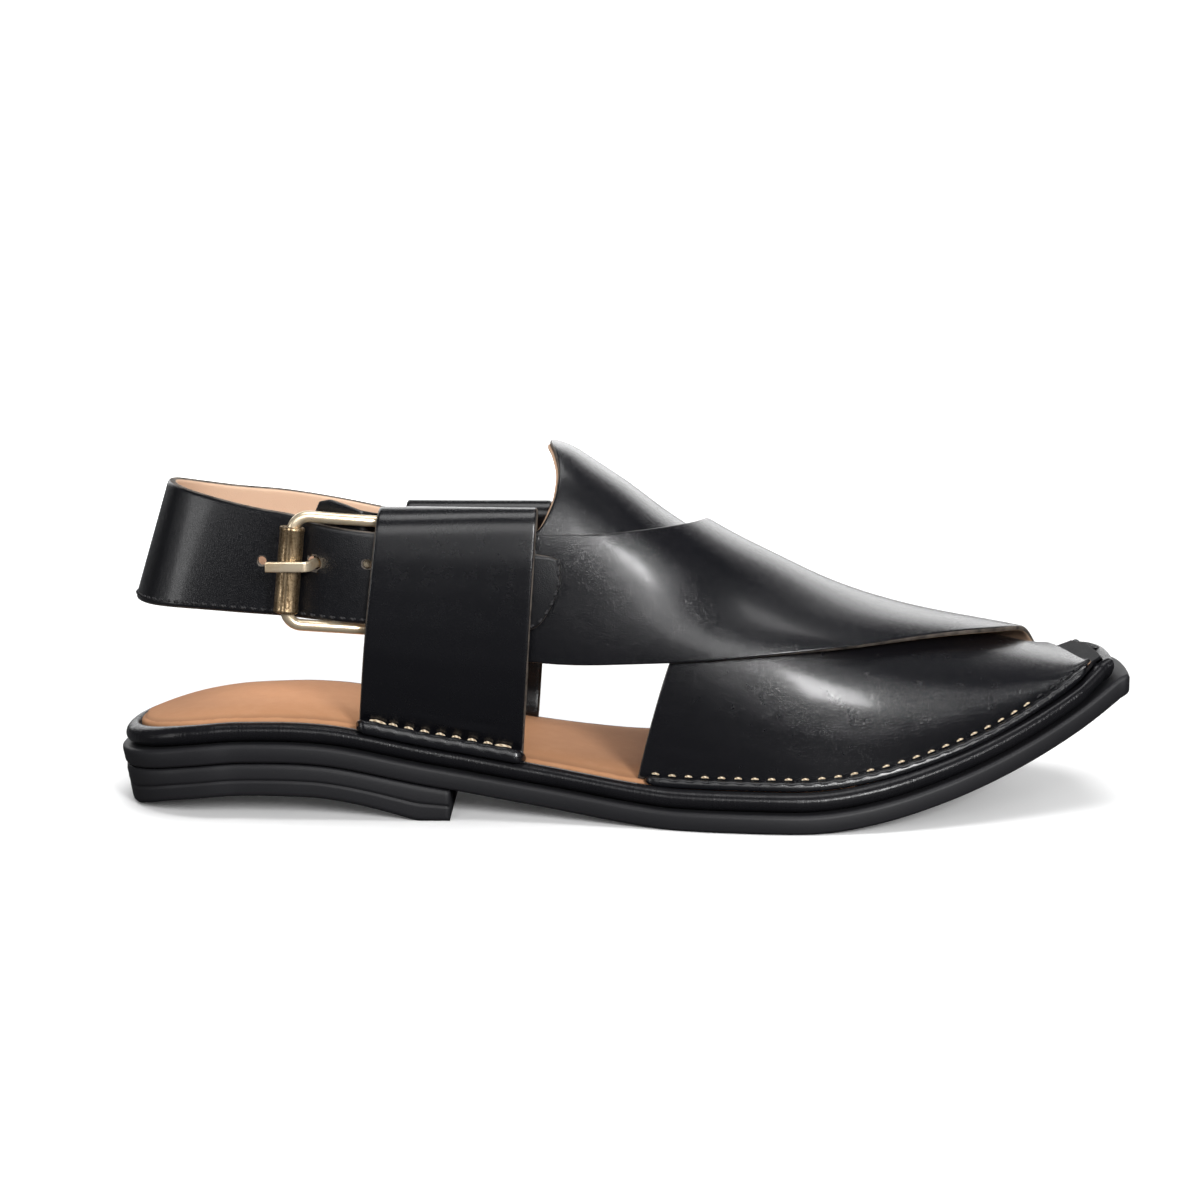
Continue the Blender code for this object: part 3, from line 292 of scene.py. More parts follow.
def cubic(table, column, x, key=0):
    """A table column at x, by a monotone cubic through its rows."""
    xs, ys, step, slope = slopes(table, column, key)
    x = np.clip(np.asarray(x, float), xs[0], xs[-1])
    i = np.clip(np.searchsorted(xs, x, side="right") - 1, 0, len(step) - 1)
    s = (x - xs[i]) / step[i]
    keep = (1 + 2 * s) * (1 - s) ** 2 * ys[i] + s * (1 - s) ** 2 * step[i] * slope[i]
    return keep + s * s * (3 - 2 * s) * ys[i + 1] + s * s * (s - 1) * step[i] * slope[i + 1]


def smooth(table, column, x, key=0):
    """The table's cubic averaged over a short window, so that highlights run on without a break."""
    first, last = table[0][key], table[-1][key]
    width = SOFTNESS * (last - first)
    x = np.asarray(x, float)
    near = np.minimum(width, np.maximum(np.minimum(x - first, last - x), 0))
    steps = np.array((-1.0, -0.5, 0.0, 0.5, 1.0)).reshape((5,) + (1,) * x.ndim)
    return np.tensordot((0.12, 0.22, 0.32, 0.22, 0.12), cubic(table, column, x + steps * near, key), 1)


def along(x):
    """The share of the sole's length at x, from 0 at the heel to 1 at the toe."""
    return (np.asarray(x, float) - HEEL_X) / LENGTH


def at_share(share):
    """The x of a share of the sole's length."""
    return HEEL_X + np.asarray(share, float) * LENGTH


def half_width(x, side):
    """The outsole's half width at x: a half ellipse round the heel, then the plan table."""
    column = 1 if side == LATERAL else 2
    wide = smooth(SOLE_PLAN, column, along(x)) * BALL_WIDTH
    back = np.clip((SEAT_CENTRE_X - np.asarray(x, float)) / HEEL_ROUND, 0, 1)
    return wide * np.sqrt(1 - back * back)


def underside(x):
    """The height of the outsole's lower face."""
    share = along(x)
    return smooth(SOLE_PROFILE, 1, share) * SEAT_RISE + smooth(SOLE_PROFILE, 2, share) * TOE_SPRING


def stack(x, thickness):
    """The height of a layer that lies a thickness above the outsole's lower face, square to its slope."""
    reach = 0.004
    slope = (underside(np.asarray(x) + reach) - underside(np.asarray(x) - reach)) / (2 * reach)
    return underside(x) + thickness * np.sqrt(1 + slope * slope)


OUTSOLE_TOP = OUTSOLE_THICK
FOOTBED_LOW = OUTSOLE_TOP + FIT_GAP
FOOTBED_TOP = FOOTBED_LOW + FOOTBED_THICK
INSOLE_EDGE = FOOTBED_TOP + INSOLE_PROUD
INSOLE_LOW = INSOLE_EDGE - INSOLE_THICK
UPPER_LOW = INSOLE_EDGE + FIT_GAP


def side_points(side, stations=150, arc_steps=48, toe_steps=24):
    """The outsole's edge on one side, from the heel's rearmost point to the middle of the toe."""
    turn = np.radians(np.linspace(0, 90, arc_steps + 1))[:-1]
    heel = SEAT_CENTRE_X - HEEL_ROUND * np.cos(turn)
    corner_x = float(at_share(SOLE_PLAN[-1][0])) - side * TOE_SKEW
    run = np.linspace(SEAT_CENTRE_X, corner_x, stations)
    run = np.sort(np.append(run, BREAST_X - HEEL_FLAT))
    x = np.concatenate([heel, run])
    y = side * half_width(x, side)
    share = np.linspace(1, 0, toe_steps + 1)[1:]
    toe_x = TOE_X - (TOE_X - corner_x) * share ** 2
    toe_y = y[-1] * share
    return np.column_stack([np.concatenate([x, toe_x]), np.concatenate([y, toe_y])])


def inset_points(side, inset, toe_extra=0.0):
    """The edge on one side moved inwards, towards the sole's middle line, by an inset."""
    edge = side_points(side)
    spine = np.column_stack([np.clip(edge[:, 0], SEAT_CENTRE_X, SPINE_END_X), np.zeros(len(edge))])
    inward = unit(spine - edge)
    run = np.gradient(edge, axis=0)
    run[[0, -1]] = (0, 1)
    normal = unit(np.column_stack([run[:, 1], -run[:, 0]]))
    facing = np.clip(np.abs((normal * inward).sum(1)), 0.6, 1)
    near_toe = np.clip((along(edge[:, 0]) - 0.95) / 0.04, 0, 1)
    return edge + inward * ((inset + toe_extra * near_toe) / facing)[:, None]


def rake(drop):
    """Moves the back of the heel forwards as it goes down by a drop."""
    def shifted(x):
        fade = np.clip((BREAST_X - x) / HEEL_LENGTH, 0, 1)
        return x + REAR_RAKE * drop * fade
    return shifted


def heel_underside(x):
    """The height of the heel block's lower face, which touches the floor at its back and its breast."""
    share = (np.asarray(x, float) - HEEL_X) / HEEL_LENGTH
    return smooth(HEEL_PROFILE, 1, share) * HEEL_ARCH


def foot_height(x):
    """The height at which the upper stands on the insole's edge."""
    return stack(x, UPPER_LOW) + 4 * FIT_GAP * ease((along(x) - 0.85) / 0.1)


def foot_reach(x, side):
    """How far the last's foot line lies from the ridge line, on one side."""
    share = along(x)
    spread = smooth(LAST, 3, share) * BALL_WIDTH
    ridge = smooth(LAST, 1, share) * BALL_WIDTH
    return half_width(x, side) - FOOT_INSET + spread - side * ridge


def last_surface(x, across):
    """The last: an arch over the foot at each x, from -1 at the lateral foot to 1 at the medial foot.

    Past 1 it runs on level, outwards, as the flange that is stitched to the sole.
    """
    share = along(x)
    side = np.where(across < 0, LATERAL, MEDIAL)
    reach = np.where(side < 0, foot_reach(x, LATERAL), foot_reach(x, MEDIAL))
    turn = np.minimum(np.abs(across), 1) * math.pi / 2
    square = smooth(LAST, 5, share)
    bulge = smooth(LAST, 4, share) * BALL_WIDTH
    out = reach * np.sin(turn) ** square + bulge * np.sin(2 * turn)
    flange = np.maximum(np.abs(across) - 1, 0) / FLANGE_SHARE * FLANGE
    y = smooth(LAST, 1, share) * BALL_WIDTH + side * (out + flange)
    low = foot_height(x)
    high = smooth(LAST, 2, share) * INSTEP_HEIGHT
    z = low + (high - low) * np.maximum(np.cos(turn), 0) ** LAST_DROP_POWER
    return np.stack([x, y, z], axis=-1)


def last_side(x, z, side):
    """The last's y at a height on one side."""
    share = along(x)
    low = foot_height(x)
    high = smooth(LAST, 2, share) * INSTEP_HEIGHT
    drop = np.clip((np.asarray(z, float) - low) / (high - low), 0, 1) ** (1 / LAST_DROP_POWER)
    turn = np.arccos(drop)
    bulge = smooth(LAST, 4, share) * BALL_WIDTH
    out = foot_reach(x, side) * np.sin(turn) ** smooth(LAST, 5, share) + bulge * np.sin(2 * turn)
    return smooth(LAST, 1, share) * BALL_WIDTH + side * out


def beside(x, z, side, off):
    """The y of a point that stands off the last's side by a distance square to its slope."""
    reach = 0.001
    rise = (last_side(x, z + reach, side) - last_side(x, z - reach, side)) / (2 * reach)
    run = (last_side(x + reach, z, side) - last_side(x - reach, z, side)) / (2 * reach)
    return last_side(x, z, side) + side * off * np.sqrt(1 + rise * rise + run * run)


def outward(grid, up=False):
    """Unit normals of a grid of points, facing away from the foot, or upwards."""
    normal = unit(np.cross(np.gradient(grid, axis=0), np.gradient(grid, axis=1)))
    return normal * np.sign(normal[:, :, 2].sum() if up else (normal * grid)[:, :, 1].sum())


def column_curve(table, column, share):
    """A table column read by the row's place in the table, from 0 at the first row to 1 at the last."""
    rows = tuple((k / (len(table) - 1), row[column]) for k, row in enumerate(table))
    return smooth(rows, 1, share)


def ease(x):
    """A smooth step from 0 to 1."""
    x = np.clip(x, 0, 1)
    return x * x * (3 - 2 * x)


TAIL_OVER = 0.74 * LEATHER + LEATHER
STRAP_OFF = {
    LATERAL: TAIL_OVER + FIT_GAP + STRAP_THICK / 2,
    MEDIAL: LEATHER - TONGUE_SINK + FIT_GAP + STRAP_THICK / 2,
}


def strap_column(column, shares):
    """A column of the heel strap's table at shares of its length."""
    return column_curve(HEEL_STRAP, column, shares)


def strap_mid(rows=52, cols=5):
    """The middle surface of the heel strap, as a grid of points from its medial end to its tip."""
    shares = np.linspace(0, 1, rows)[:, None]
    down = np.linspace(0, 1, cols)[None, :]
    x = at_share(strap_column(0, shares) * (1 - down) + strap_column(3, shares) * down)
    z = (strap_column(2, shares) * (1 - down) + strap_column(5, shares) * down) * STRAP_TOP
    free = (strap_column(1, shares) * (1 - down) + strap_column(4, shares) * down) * BALL_WIDTH
    lying = np.where(
        shares < 0.5,
        beside(x, z, MEDIAL, STRAP_OFF[MEDIAL]),
        beside(x, z, LATERAL, STRAP_OFF[LATERAL]),
    )
    lie = strap_column(6, shares)
    return np.stack([x, free * (1 - lie) + lying * lie, z], axis=-1)


PRONG_HOLE_X = float(at_share(0.2110))
HOLE_Z = 0.0760


def strap_at(x):
    """The heel strap's middle y at x, on the lateral side half way up."""
    grid = strap_mid(rows=240, cols=3)[:, 1, :]
    lateral = grid[grid[:, 1] < 0]
    order = np.argsort(lateral[:, 0])
    return float(np.interp(x, lateral[order, 0], lateral[order, 1]))


LOOP_STAND_OFF = {
    side: STRAP_OFF[side] + STRAP_THICK / 2 + 2 * FIT_GAP + LOOP_LEATHER / 2 for side in (LATERAL, MEDIAL)
}
LOOP_INNER_OFF = TONGUE_SINK + FIT_GAP + LOOP_LEATHER / 2
LOOP_TOP = {LATERAL: LATERAL_LOOP_TOP, MEDIAL: MEDIAL_LOOP_TOP}
LOOP_FRONT = {LATERAL: 0.4059, MEDIAL: 0.4158}


def loop_path(across, side):
    """One slice of a side loop: flange, outer leaf, fold and inner leaf, down to the insole."""
    x_foot = float(at_share(LOOP_FRONT[side])) - LOOP_WIDTH * (1 - across)
    lean = LOOP_LEAN_BACK * (1 - across) + LOOP_LEAN_FRONT * across
    room = BUCKLE_ROOM * (1 - ease(across / 0.9)) if side == LATERAL else 0.0
    outer, inner = LOOP_STAND_OFF[side], -LOOP_INNER_OFF - room
    radius = (LOOP_STAND_OFF[side] + LOOP_INNER_OFF) / 2
    low = float(foot_height(x_foot)) + LOOP_LEATHER / 2
    high = LOOP_TOP[side] - LOOP_LEATHER / 2 - radius
    path = [(x_foot, float(last_side(x_foot, low, side)) + side * FLANGE, low)]
    for share, reach in LOOP_LEAF:
        z = low + share * (high - low)
        x = x_foot + lean * (z - low)
        path.append((x, float(beside(x, z, side, outer * reach)), z))
    x_top, top_y = path[-1][:2]
    inner_top = float(beside(x_top, high, side, inner))
    middle, half = (top_y + inner_top) / 2, abs(top_y - inner_top) / 2
    for deg in (25, 50, 75, 105, 130, 155):
        turn = math.radians(deg)
        x = x_top + lean * radius * math.sin(turn)
        path.append((x, middle + side * half * math.cos(turn), high + radius * math.sin(turn)))
    for share, reach in reversed(LOOP_LEAF):
        z = low + share * (high - low) - (LOOP_LEATHER / 2 if share == 0 else 0)
        x = x_foot + lean * (z - low)
        foot_room = -LOOP_LEATHER * 1.25 * (1 - ease(share / 0.15))
        off = inner * (0.25 + 0.75 * reach) + foot_room
        path.append((x, float(beside(x, z, side, off)), z))
    return np.array(path)


ROLLER_X = float(at_share(0.1888))
BUCKLE_Z = 0.0745
BUCKLE_TILT = math.radians(-6.0)


def buckle_frame_axes():
    """The buckle's middle at the roller bar, and unit vectors towards the hinge bar and up the bars."""
    roller_y = strap_at(ROLLER_X) - STRAP_THICK / 2 - 3 * FIT_GAP - ROLLER_RADIUS
    roller = np.array((ROLLER_X, roller_y, BUCKLE_Z))
    hinge_x = ROLLER_X + BUCKLE_LENGTH - 2 * WIRE_RADIUS
    hinge_y = strap_at(hinge_x) + STRAP_THICK / 2 + 4 * FIT_GAP + PRONG_THICK + WIRE_RADIUS
    run = unit(np.array((hinge_x - ROLLER_X, hinge_y - roller[1], 0.0)))
    up = np.array((0.0, 0.0, 1.0))
    c, s = math.cos(BUCKLE_TILT), math.sin(BUCKLE_TILT)
    return roller, run * c + up * s, up * c - run * s


RIM_OUT = 0.0014
RIM_CREST_INSET = 0.0044
RECESS_INSET = 0.0060
RIM_TOE_INSET = 0.0030


# Making meshes


def finish_mesh(name, points, quads, fields, material, node=None, weld=2e-6):
    """One smooth piece from points and quads, welded at its seams, in place of a CAD node if one is named.

    fields gives the attributes side, run and cross, at each point or as one number.
    """
    mesh = bpy.data.meshes.new(name)
    points = np.ascontiguousarray(points, np.float32).reshape(-1, 3)
    quads = np.ascontiguousarray(quads, np.int32)
    mesh.vertices.add(len(points))
    mesh.vertices.foreach_set("co", points.ravel())
    mesh.loops.add(quads.size)
    mesh.loops.foreach_set("vertex_index", quads.ravel())
    mesh.polygons.add(len(quads))
    mesh.polygons.foreach_set("loop_start", np.arange(len(quads), dtype=np.int32) * quads.shape[1])
    mesh.update(calc_edges=True)
    for key, values in zip(("side", "run", "cross"), fields):
        made = mesh.attributes.new(key, "FLOAT", "POINT")
        values = np.broadcast_to(values, len(points))
        made.data.foreach_set("value", np.ascontiguousarray(values, np.float32))
    build = bmesh.new()
    build.from_mesh(mesh)
    bmesh.ops.remove_doubles(build, verts=build.verts[:], dist=weld)
    bmesh.ops.recalc_face_normals(build, faces=build.faces[:])
    build.to_mesh(mesh)
    build.free()
    mesh.shade_smooth()
    mesh.materials.append(material)
    piece = bpy.data.objects.new(name, mesh)
    bpy.context.scene.collection.objects.link(piece)
    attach(piece, "root")
    if node:
        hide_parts(node)
    return piece


def grid_quads(rows, cols, start=0, wrap=False):
    """The quads of a grid of points stored row by row; with wrap, the last column meets the first."""
    index = start + np.arange(rows * cols).reshape(rows, cols)
    right = np.roll(index, -1, axis=1) if wrap else index[:, 1:]
    left = index if wrap else index[:, :-1]
    return np.stack([left[:-1], right[:-1], right[1:], left[1:]], axis=-1).reshape(-1, 4)


def crowded(count, length, radius):
    """Shares from 0 to 1, even in the middle and crowded within a radius of both ends."""
    near = radius * np.array((0.0, 0.04, 0.16, 0.38, 0.68, 1.0)) / length
    middle = np.linspace(near[-1], 1 - near[-1], count)[1:-1]
    return np.concatenate([near, middle, 1 - near[::-1]])


def edge_profile(shares, length, radius):
    """A rounded edge: the half thickness rises as a quarter circle within a radius of each end."""
    depth = np.minimum(shares, 1 - shares) * length / radius
    return np.sqrt(np.clip(1 - (1 - np.clip(depth, 0, 1)) ** 2, 0, 1))


def sheet(name, middle, thickness, lengths, counts, material, node, relief=None, up=False):
    """A leather sheet with rounded edges all round.

    middle(u, v) gives the middle surface. Both faces stand off it by half the thickness times a quarter
    circle in from each edge, plus an optional relief along the normal. The attribute side is 1 on the outer
    face, -1 on the inner one and 0 on the rim; run and cross are metres along and across the sheet.
    """
    radius = thickness / 2
    u, v = (crowded(count, length, radius) for count, length in zip(counts, lengths))
    points = middle(u[:, None], v[None, :])
    normal = outward(points, up)
    swell = edge_profile(u, lengths[0], radius)[:, None] * edge_profile(v, lengths[1], radius)[None, :]
    if relief:
        points = points + normal * relief(u[:, None], v[None, :])[:, :, None]
    half = normal * (swell * radius)[:, :, None]
    rows, cols = swell.shape
    both = np.stack([points + half, points - half])
    quads = np.concatenate([grid_quads(rows, cols), grid_quads(rows, cols, rows * cols)[:, ::-1]])
    side = np.stack([swell, -swell]).ravel()
    fields = side, np.tile(np.repeat(u * lengths[0], cols), 2), np.tile(v * lengths[1], 2 * rows)
    return finish_mesh(name, both, quads, fields, material, node)


def cubic_weights(places, count):
    """Weights that read a row of evenly spaced values at places from 0 to 1 by a Catmull-Rom cubic."""
    t = np.clip(places, 0, 1) * (count - 1)
    i = np.clip(t.astype(int), 0, count - 2)
    f = t - i
    parts = (
        (-1, -0.5 * f + f * f - 0.5 * f**3),
        (0, 1 - 2.5 * f * f + 1.5 * f**3),
        (1, 0.5 * f + 2 * f * f - 1.5 * f**3),
        (2, -0.5 * f * f + 0.5 * f**3),
    )
    weights = np.zeros((len(t), count))
    for offset, part in parts:
        np.add.at(weights, (np.arange(len(t)), np.clip(i + offset, 0, count - 1)), part)
    return weights


def softened(surface, size, rounds):
    """A surface with its bends eased: an even grid of it, averaged with its neighbours, read by cubics."""
    grid = surface(np.linspace(0, 1, size[0])[:, None], np.linspace(0, 1, size[1])[None, :])
    for _ in range(rounds):
        relax(grid, 1)
        relax(grid.swapaxes(0, 1), 1)

    def read(u, v):
        lengthwise, crosswise = cubic_weights(u[:, 0], size[0]), cubic_weights(v[0], size[1])
        return np.einsum("ai,ijk,bj->abk", lengthwise, grid, crosswise)

    return read


def tube(name, rings, material, node, closed=False):
    """Rings of points joined into a tube, which closes on itself or is capped at its end rings' middles."""
    if closed:
        rings = np.concatenate([rings, rings[:1]])
    else:
        caps = [np.broadcast_to(rings[k].mean(0), rings[:1].shape) for k in (0, -1)]
        rings = np.concatenate([caps[0], rings, caps[1]])
    rows, cols = rings.shape[:2]
    fields = 1.0, np.repeat(reach_of(rings.mean(1)), cols), np.tile(np.linspace(0, 1, cols), rows)
    return finish_mesh(name, rings, grid_quads(rows, cols, wrap=True), fields, material, node)


def swept(path, normals, section, closed=False):
    """The rings of a section carried along a path, with its offsets along the two normals."""
    ahead = np.roll(path, -1, axis=0) - np.roll(path, 1, axis=0) if closed else np.gradient(path, axis=0)
    ahead = unit(ahead)
    second = unit(np.cross(ahead, normals))
    first = np.cross(second, ahead)
    return path[:, None] + section[None, :, :1] * first[:, None] + section[None, :, 1:] * second[:, None]


def stitches(name, path, normals, spacing, length, thick, material, slot, lift=0.0, long_ends=1.0, over=0.0):
    """A row of stitches: each is a thread arched over a short length, thick in the middle, and its ends sink.

    The centre line rises as a half cosine over the length; with over, the stitches lie across the path and
    their ends drop by that height. The section is an ellipse, and its size follows a power of a half circle
    along the stitch. All stitches are worked out as one array.
    """
    reach = reach_of(path)
    count = int(reach[-1] // spacing)
    centres = (np.arange(count) + 0.5)[:, None] * reach[-1] / count
    longer = np.ones((count, 1))
    longer[[0, -1]] = long_ends
    rings, sides = 9, 8
    t = np.linspace(-0.5, 0.5, rings)
    place = centres + 0 * t if over else centres + t * length * longer
    line = read_path(place, reach, path)
    up = unit(read_path(place, reach, normals))
    if over:
        heading = read_path(place, reach, np.gradient(path, reach, axis=0))
        line = line + np.cross(heading, up) * (t * length)[:, None]
        line = line + up * (over * (np.cos(math.pi * t) - 1))[:, None]
    across = np.cross(unit(np.gradient(line, axis=1)), up)
    size = thick * np.maximum(1 - (2 * t) ** 2, 0) ** 0.45
    rise = lift + thick * (0.55 * np.cos(math.pi * t) - 0.30)
    ellipse = size[:, None, None] * circle(sides) * (1, 0.8)
    points = (line + up * rise[:, None])[:, :, None] + across[:, :, None] * ellipse[:, :, :1]
    points = points + up[:, :, None] * ellipse[:, :, 1:]
    one = grid_quads(rings, sides, wrap=True)
    quads = (one[None] + (np.arange(count) * rings * sides)[:, None, None]).reshape(-1, 4)
    run = np.tile(np.repeat(t * length, sides), count)
    fields = 1.0, run, np.tile(np.linspace(0, 1, sides), rings * count)
    return finish_mesh(name, points, quads, fields, material, weld=1e-7)


# Materials


class Nodes:
    """A short way to place shader nodes in a tree and join them."""

    def __init__(self, tree):
        self.tree = tree

    def put(self, socket, value):
        if isinstance(value, bpy.types.NodeSocket):
            self.tree.links.new(value, socket)
        else:
            socket.default_value = value

    def fill(self, node, inputs):
        for key, value in inputs.items():
            self.put(node.inputs[key.replace("_", " ") if isinstance(key, str) else key], value)
        return node.outputs

    def add(self, kind, settings=None, **inputs):
        node = self.tree.nodes.new(kind)
        for key, value in (settings or {}).items():
            setattr(node, key, value)
        return self.fill(node, inputs)

    def math(self, operation, first, second=0.0, clamp=False):
        node = self.tree.nodes.new("ShaderNodeMath")
        node.operation, node.use_clamp = operation, clamp
        return self.fill(node, {0: first, 1: second})[0]

    def times(self, first, second):
        return self.math("MULTIPLY", first, second)

    def plus(self, first, second, clamp=False):
        return self.math("ADD", first, second, clamp)

    def mix(self, factor, first, second, kind="RGBA"):
        node = self.tree.nodes.new("ShaderNodeMix")
        node.data_type = kind
        start, end = (6, 2) if kind == "RGBA" else (2, 0)
        return self.fill(node, {0: factor, start: first, start + 1: second})[end]

    def step(self, value, low, high, out_low=0.0, out_high=1.0):
        node = self.tree.nodes.new("ShaderNodeMapRange")
        node.interpolation_type = "SMOOTHSTEP"
        return self.fill(node, dict(enumerate((value, low, high, out_low, out_high))))[0]

    def noise(self, vector, scale, detail=3.0, roughness=0.55, distortion=0.0):
        kind = "ShaderNodeTexNoise"
        return self.add(kind, Vector=vector, Scale=scale, Detail=detail, Roughness=roughness,
                        Distortion=distortion)[0]

    def stretched(self, vector, scale):
        return self.add("ShaderNodeMapping", Vector=vector, Scale=scale)[0]

    def parts(self, vector):
        return self.add("ShaderNodeSeparateXYZ", Vector=vector)

    def attribute(self, name):
        return self.add("ShaderNodeAttribute", {"attribute_name": name})["Fac"]

    def place(self):
        return self.add("ShaderNodeTexCoord")["Object"]

    def use(self, tree, **inputs):
        return self.add("ShaderNodeGroup", {"node_tree": tree}, **inputs)


class Finish(Nodes):
    """The nodes of a new Principled material; numbers that are even all over are set on its shader."""

    def __init__(self, name, **numbers):
        self.made = bpy.data.materials.new(name)
        self.made.use_nodes = True
        super().__init__(self.made.node_tree)
        self.shader = self.tree.nodes["Principled BSDF"]
        self.fill(self.shader, numbers)

    def done(self, colour, rough, height, strength, distance, **more):
        """Joins a colour, a roughness and a Bump node to the shader and gives the material."""
        bump = self.add("ShaderNodeBump", Strength=strength, Distance=distance, Height=height)[0]
        self.fill(self.shader, {"Base Color": colour, "Roughness": rough, "Normal": bump, **more})
        return self.made


def group(name, inputs, outputs):
    """An empty shader node group with named number inputs and outputs, and its inner nodes."""
    tree = bpy.data.node_groups.new(name, "ShaderNodeTree")
    for key, default in inputs.items():
        socket = tree.interface.new_socket(name=key, in_out="INPUT", socket_type="NodeSocketFloat")
        socket.default_value = default
    for key in outputs:
        tree.interface.new_socket(name=key, in_out="OUTPUT", socket_type="NodeSocketFloat")
    inner = Nodes(tree)
    return tree, inner, inner.add("NodeGroupInput"), tree.nodes.new("NodeGroupOutput")


def make_grain():
    """Leather grain: fine cells broken by noise, and long soft scratches. Height is for a Bump node."""
    inputs = {"Cell": 900.0, "Depth": 1.0, "Creases": 0.3}
    tree, n, given, out = group("leather_grain", inputs, ("Height", "Gloss Breaks", "Cloud"))
    place = n.place()
    cells = n.add("ShaderNodeTexVoronoi", {"feature": "DISTANCE_TO_EDGE"}, Vector=place, Scale=given["Cell"])
    pores = n.step(cells["Distance"], 0.0, 0.22)
    fine = n.noise(place, n.times(given["Cell"], 1.7), 2.0)
    wave = n.noise(place, 38.0, 4.0, 0.6, 0.4)
    crease = n.step(n.math("ABSOLUTE", n.math("SUBTRACT", wave, 0.5)), 0.0, 0.05)
    height = n.times(n.plus(n.times(pores, 0.5), n.times(fine, 0.6)), given["Depth"])
    height = n.plus(height, n.times(n.times(crease, given["Creases"]), 0.6))
    breaks = n.step(n.noise(place, 210.0, 5.0, 0.7), 0.35, 0.75)
    n.fill(out, {"Height": height, "Gloss Breaks": breaks, "Cloud": n.noise(place, 22.0, 4.0, 0.6)})
    return tree


def make_scuffs():
    """Scuffs: thin pale scratches, where two stretched noises both peak."""
    tree, n, given, out = group("scuffs", {"Amount": 0.5, "Size": 1.0}, ("Mask",))
    place = n.place()
    long_way = n.noise(n.stretched(place, (60.0, 420.0, 900.0)), 1.0, 4.0, 0.6, 0.3)
    cross_way = n.noise(n.stretched(place, (700.0, 300.0, 90.0)), 1.0, 3.0, 0.6, 0.5)
    patch = n.step(n.noise(place, n.times(given["Size"], 26.0), 3.0), 0.52, 0.72)
    lines = n.math("MAXIMUM", n.step(long_way, 0.68, 0.80), n.step(cross_way, 0.72, 0.84))
    n.fill(out, {"Mask": n.times(n.times(lines, patch), given["Amount"])})
    return tree


def make_dust():
    """Fine dust: small pale specks, most of them on faces that look up."""
    tree, n, given, out = group("dust", {"Amount": 0.2}, ("Mask",))
    speck = n.step(n.noise(n.place(), 1500.0, 2.0, 0.8), 0.66, 0.78)
    level = n.step(n.parts(n.add("ShaderNodeNewGeometry")["Normal"])[2], 0.1, 0.9, 0.25, 1.0)
    n.fill(out, {"Mask": n.times(n.times(speck, level), given["Amount"])})
    return tree


GRAIN = make_grain()
SCUFFS = make_scuffs()
DUST = make_dust()

BLACK = (0.0026, 0.0028, 0.0040, 1)
BLACK_CLOUD = (0.0046, 0.0046, 0.0062, 1)
BLACK_WORN = (0.022, 0.021, 0.024, 1)
TAN = (0.47, 0.238, 0.122, 1)
TAN_DARK = (0.33, 0.158, 0.080, 1)
TAN_PALE = (0.74, 0.52, 0.37, 1)
TAN_CLOUD = (0.66, 0.43, 0.29, 1)
# The raw edge's own brown, made lighter so that it stands in as a painted highlight along the cut edges.
RAW_EDGE_AND_PAINTED_HIGHLIGHT = (0.135, 0.112, 0.092, 1)


def black_leather(name, gloss=0.23, lined=True, grain=1.0, coat=0.3, sheen=0.43, edge=RAW_EDGE_AND_PAINTED_HIGHLIGHT):
    """Polished black leather: tan lining on the inner face, a raw rim lightened by a painted highlight and
    dark in patches, grain, soft scuffs and dust.
    """
    n = Finish(name, Coat_Roughness=0.18, Specular_IOR_Level=sheen)
    grained = n.use(GRAIN, Cell=1900.0, Depth=grain, Creases=0.0)
    scuff = n.use(SCUFFS, Amount=0.12, Size=1.0)["Mask"]
    dust = n.use(DUST, Amount=0.10)["Mask"]
    side = n.attribute("side")
    outer = n.step(side, 0.55, 0.85)
    inner = n.step(side, -0.85, -0.55, 1.0, 0.0)
    black = n.mix(grained["Cloud"], BLACK, BLACK_CLOUD)
    black = n.mix(n.times(scuff, 0.6), black, (0.10, 0.095, 0.095, 1))
    black = n.mix(dust, black, (0.30, 0.29, 0.28, 1))
    lining = n.mix(grained["Cloud"], *((TAN_PALE, TAN_CLOUD) if lined else (BLACK, BLACK_WORN)))
    # The rim: the raw edge's brown with its painted highlight, dark in patches.
    rim = n.mix(grained["Gloss Breaks"], edge, (0.012, 0.010, 0.009, 1))
    colour = n.mix(inner, n.mix(outer, rim, black), lining)
    polish = n.plus(gloss, n.times(grained["Gloss Breaks"], 0.04))
    polish = n.plus(polish, n.times(scuff, 0.30), clamp=True)
    rough = n.mix(outer, 0.72, polish, "FLOAT")
    return n.done(colour, rough, grained["Height"], 0.34, 0.00015, Coat_Weight=n.times(outer, coat))


def rim_leather():
    """The rolled rim: black leather drawn over an edge, with fine wrinkles across the roll."""
    n = Finish("rim_leather_roll", Coat_Roughness=0.14, Specular_IOR_Level=0.22)
    grained = n.use(GRAIN, Cell=1300.0, Depth=0.5, Creases=0.0)
    run, cross = n.attribute("run"), n.attribute("cross")

    def across_roll(fine, wide, *settings):
        vector = n.add("ShaderNodeCombineXYZ", X=n.times(run, fine), Y=n.times(cross, wide))[0]
        return n.noise(vector, 1.0, *settings)

    wrinkle = across_roll(1150.0, 4.5, 3.0, 0.6, 0.8)
    fold = across_roll(260.0, 2.0, 2.0, 0.5, 0.4)
    scuff = n.use(SCUFFS, Amount=0.5, Size=1.6)["Mask"]
    colour = n.mix(grained["Cloud"], BLACK, (0.012, 0.0115, 0.013, 1))
    colour = n.mix(n.times(scuff, 0.7), colour, (0.12, 0.115, 0.115, 1))
    rough = n.plus(n.plus(0.17, n.times(wrinkle, 0.14)), n.times(scuff, 0.3), clamp=True)
    height = n.plus(n.times(wrinkle, 1.2), n.times(fold, 0.9))
    height = n.plus(height, n.times(grained["Height"], 0.35))
    coat = n.times(grained["Gloss Breaks"], 0.22)
    return n.done(colour, rough, height, 0.55, 0.00022, Coat_Weight=coat)


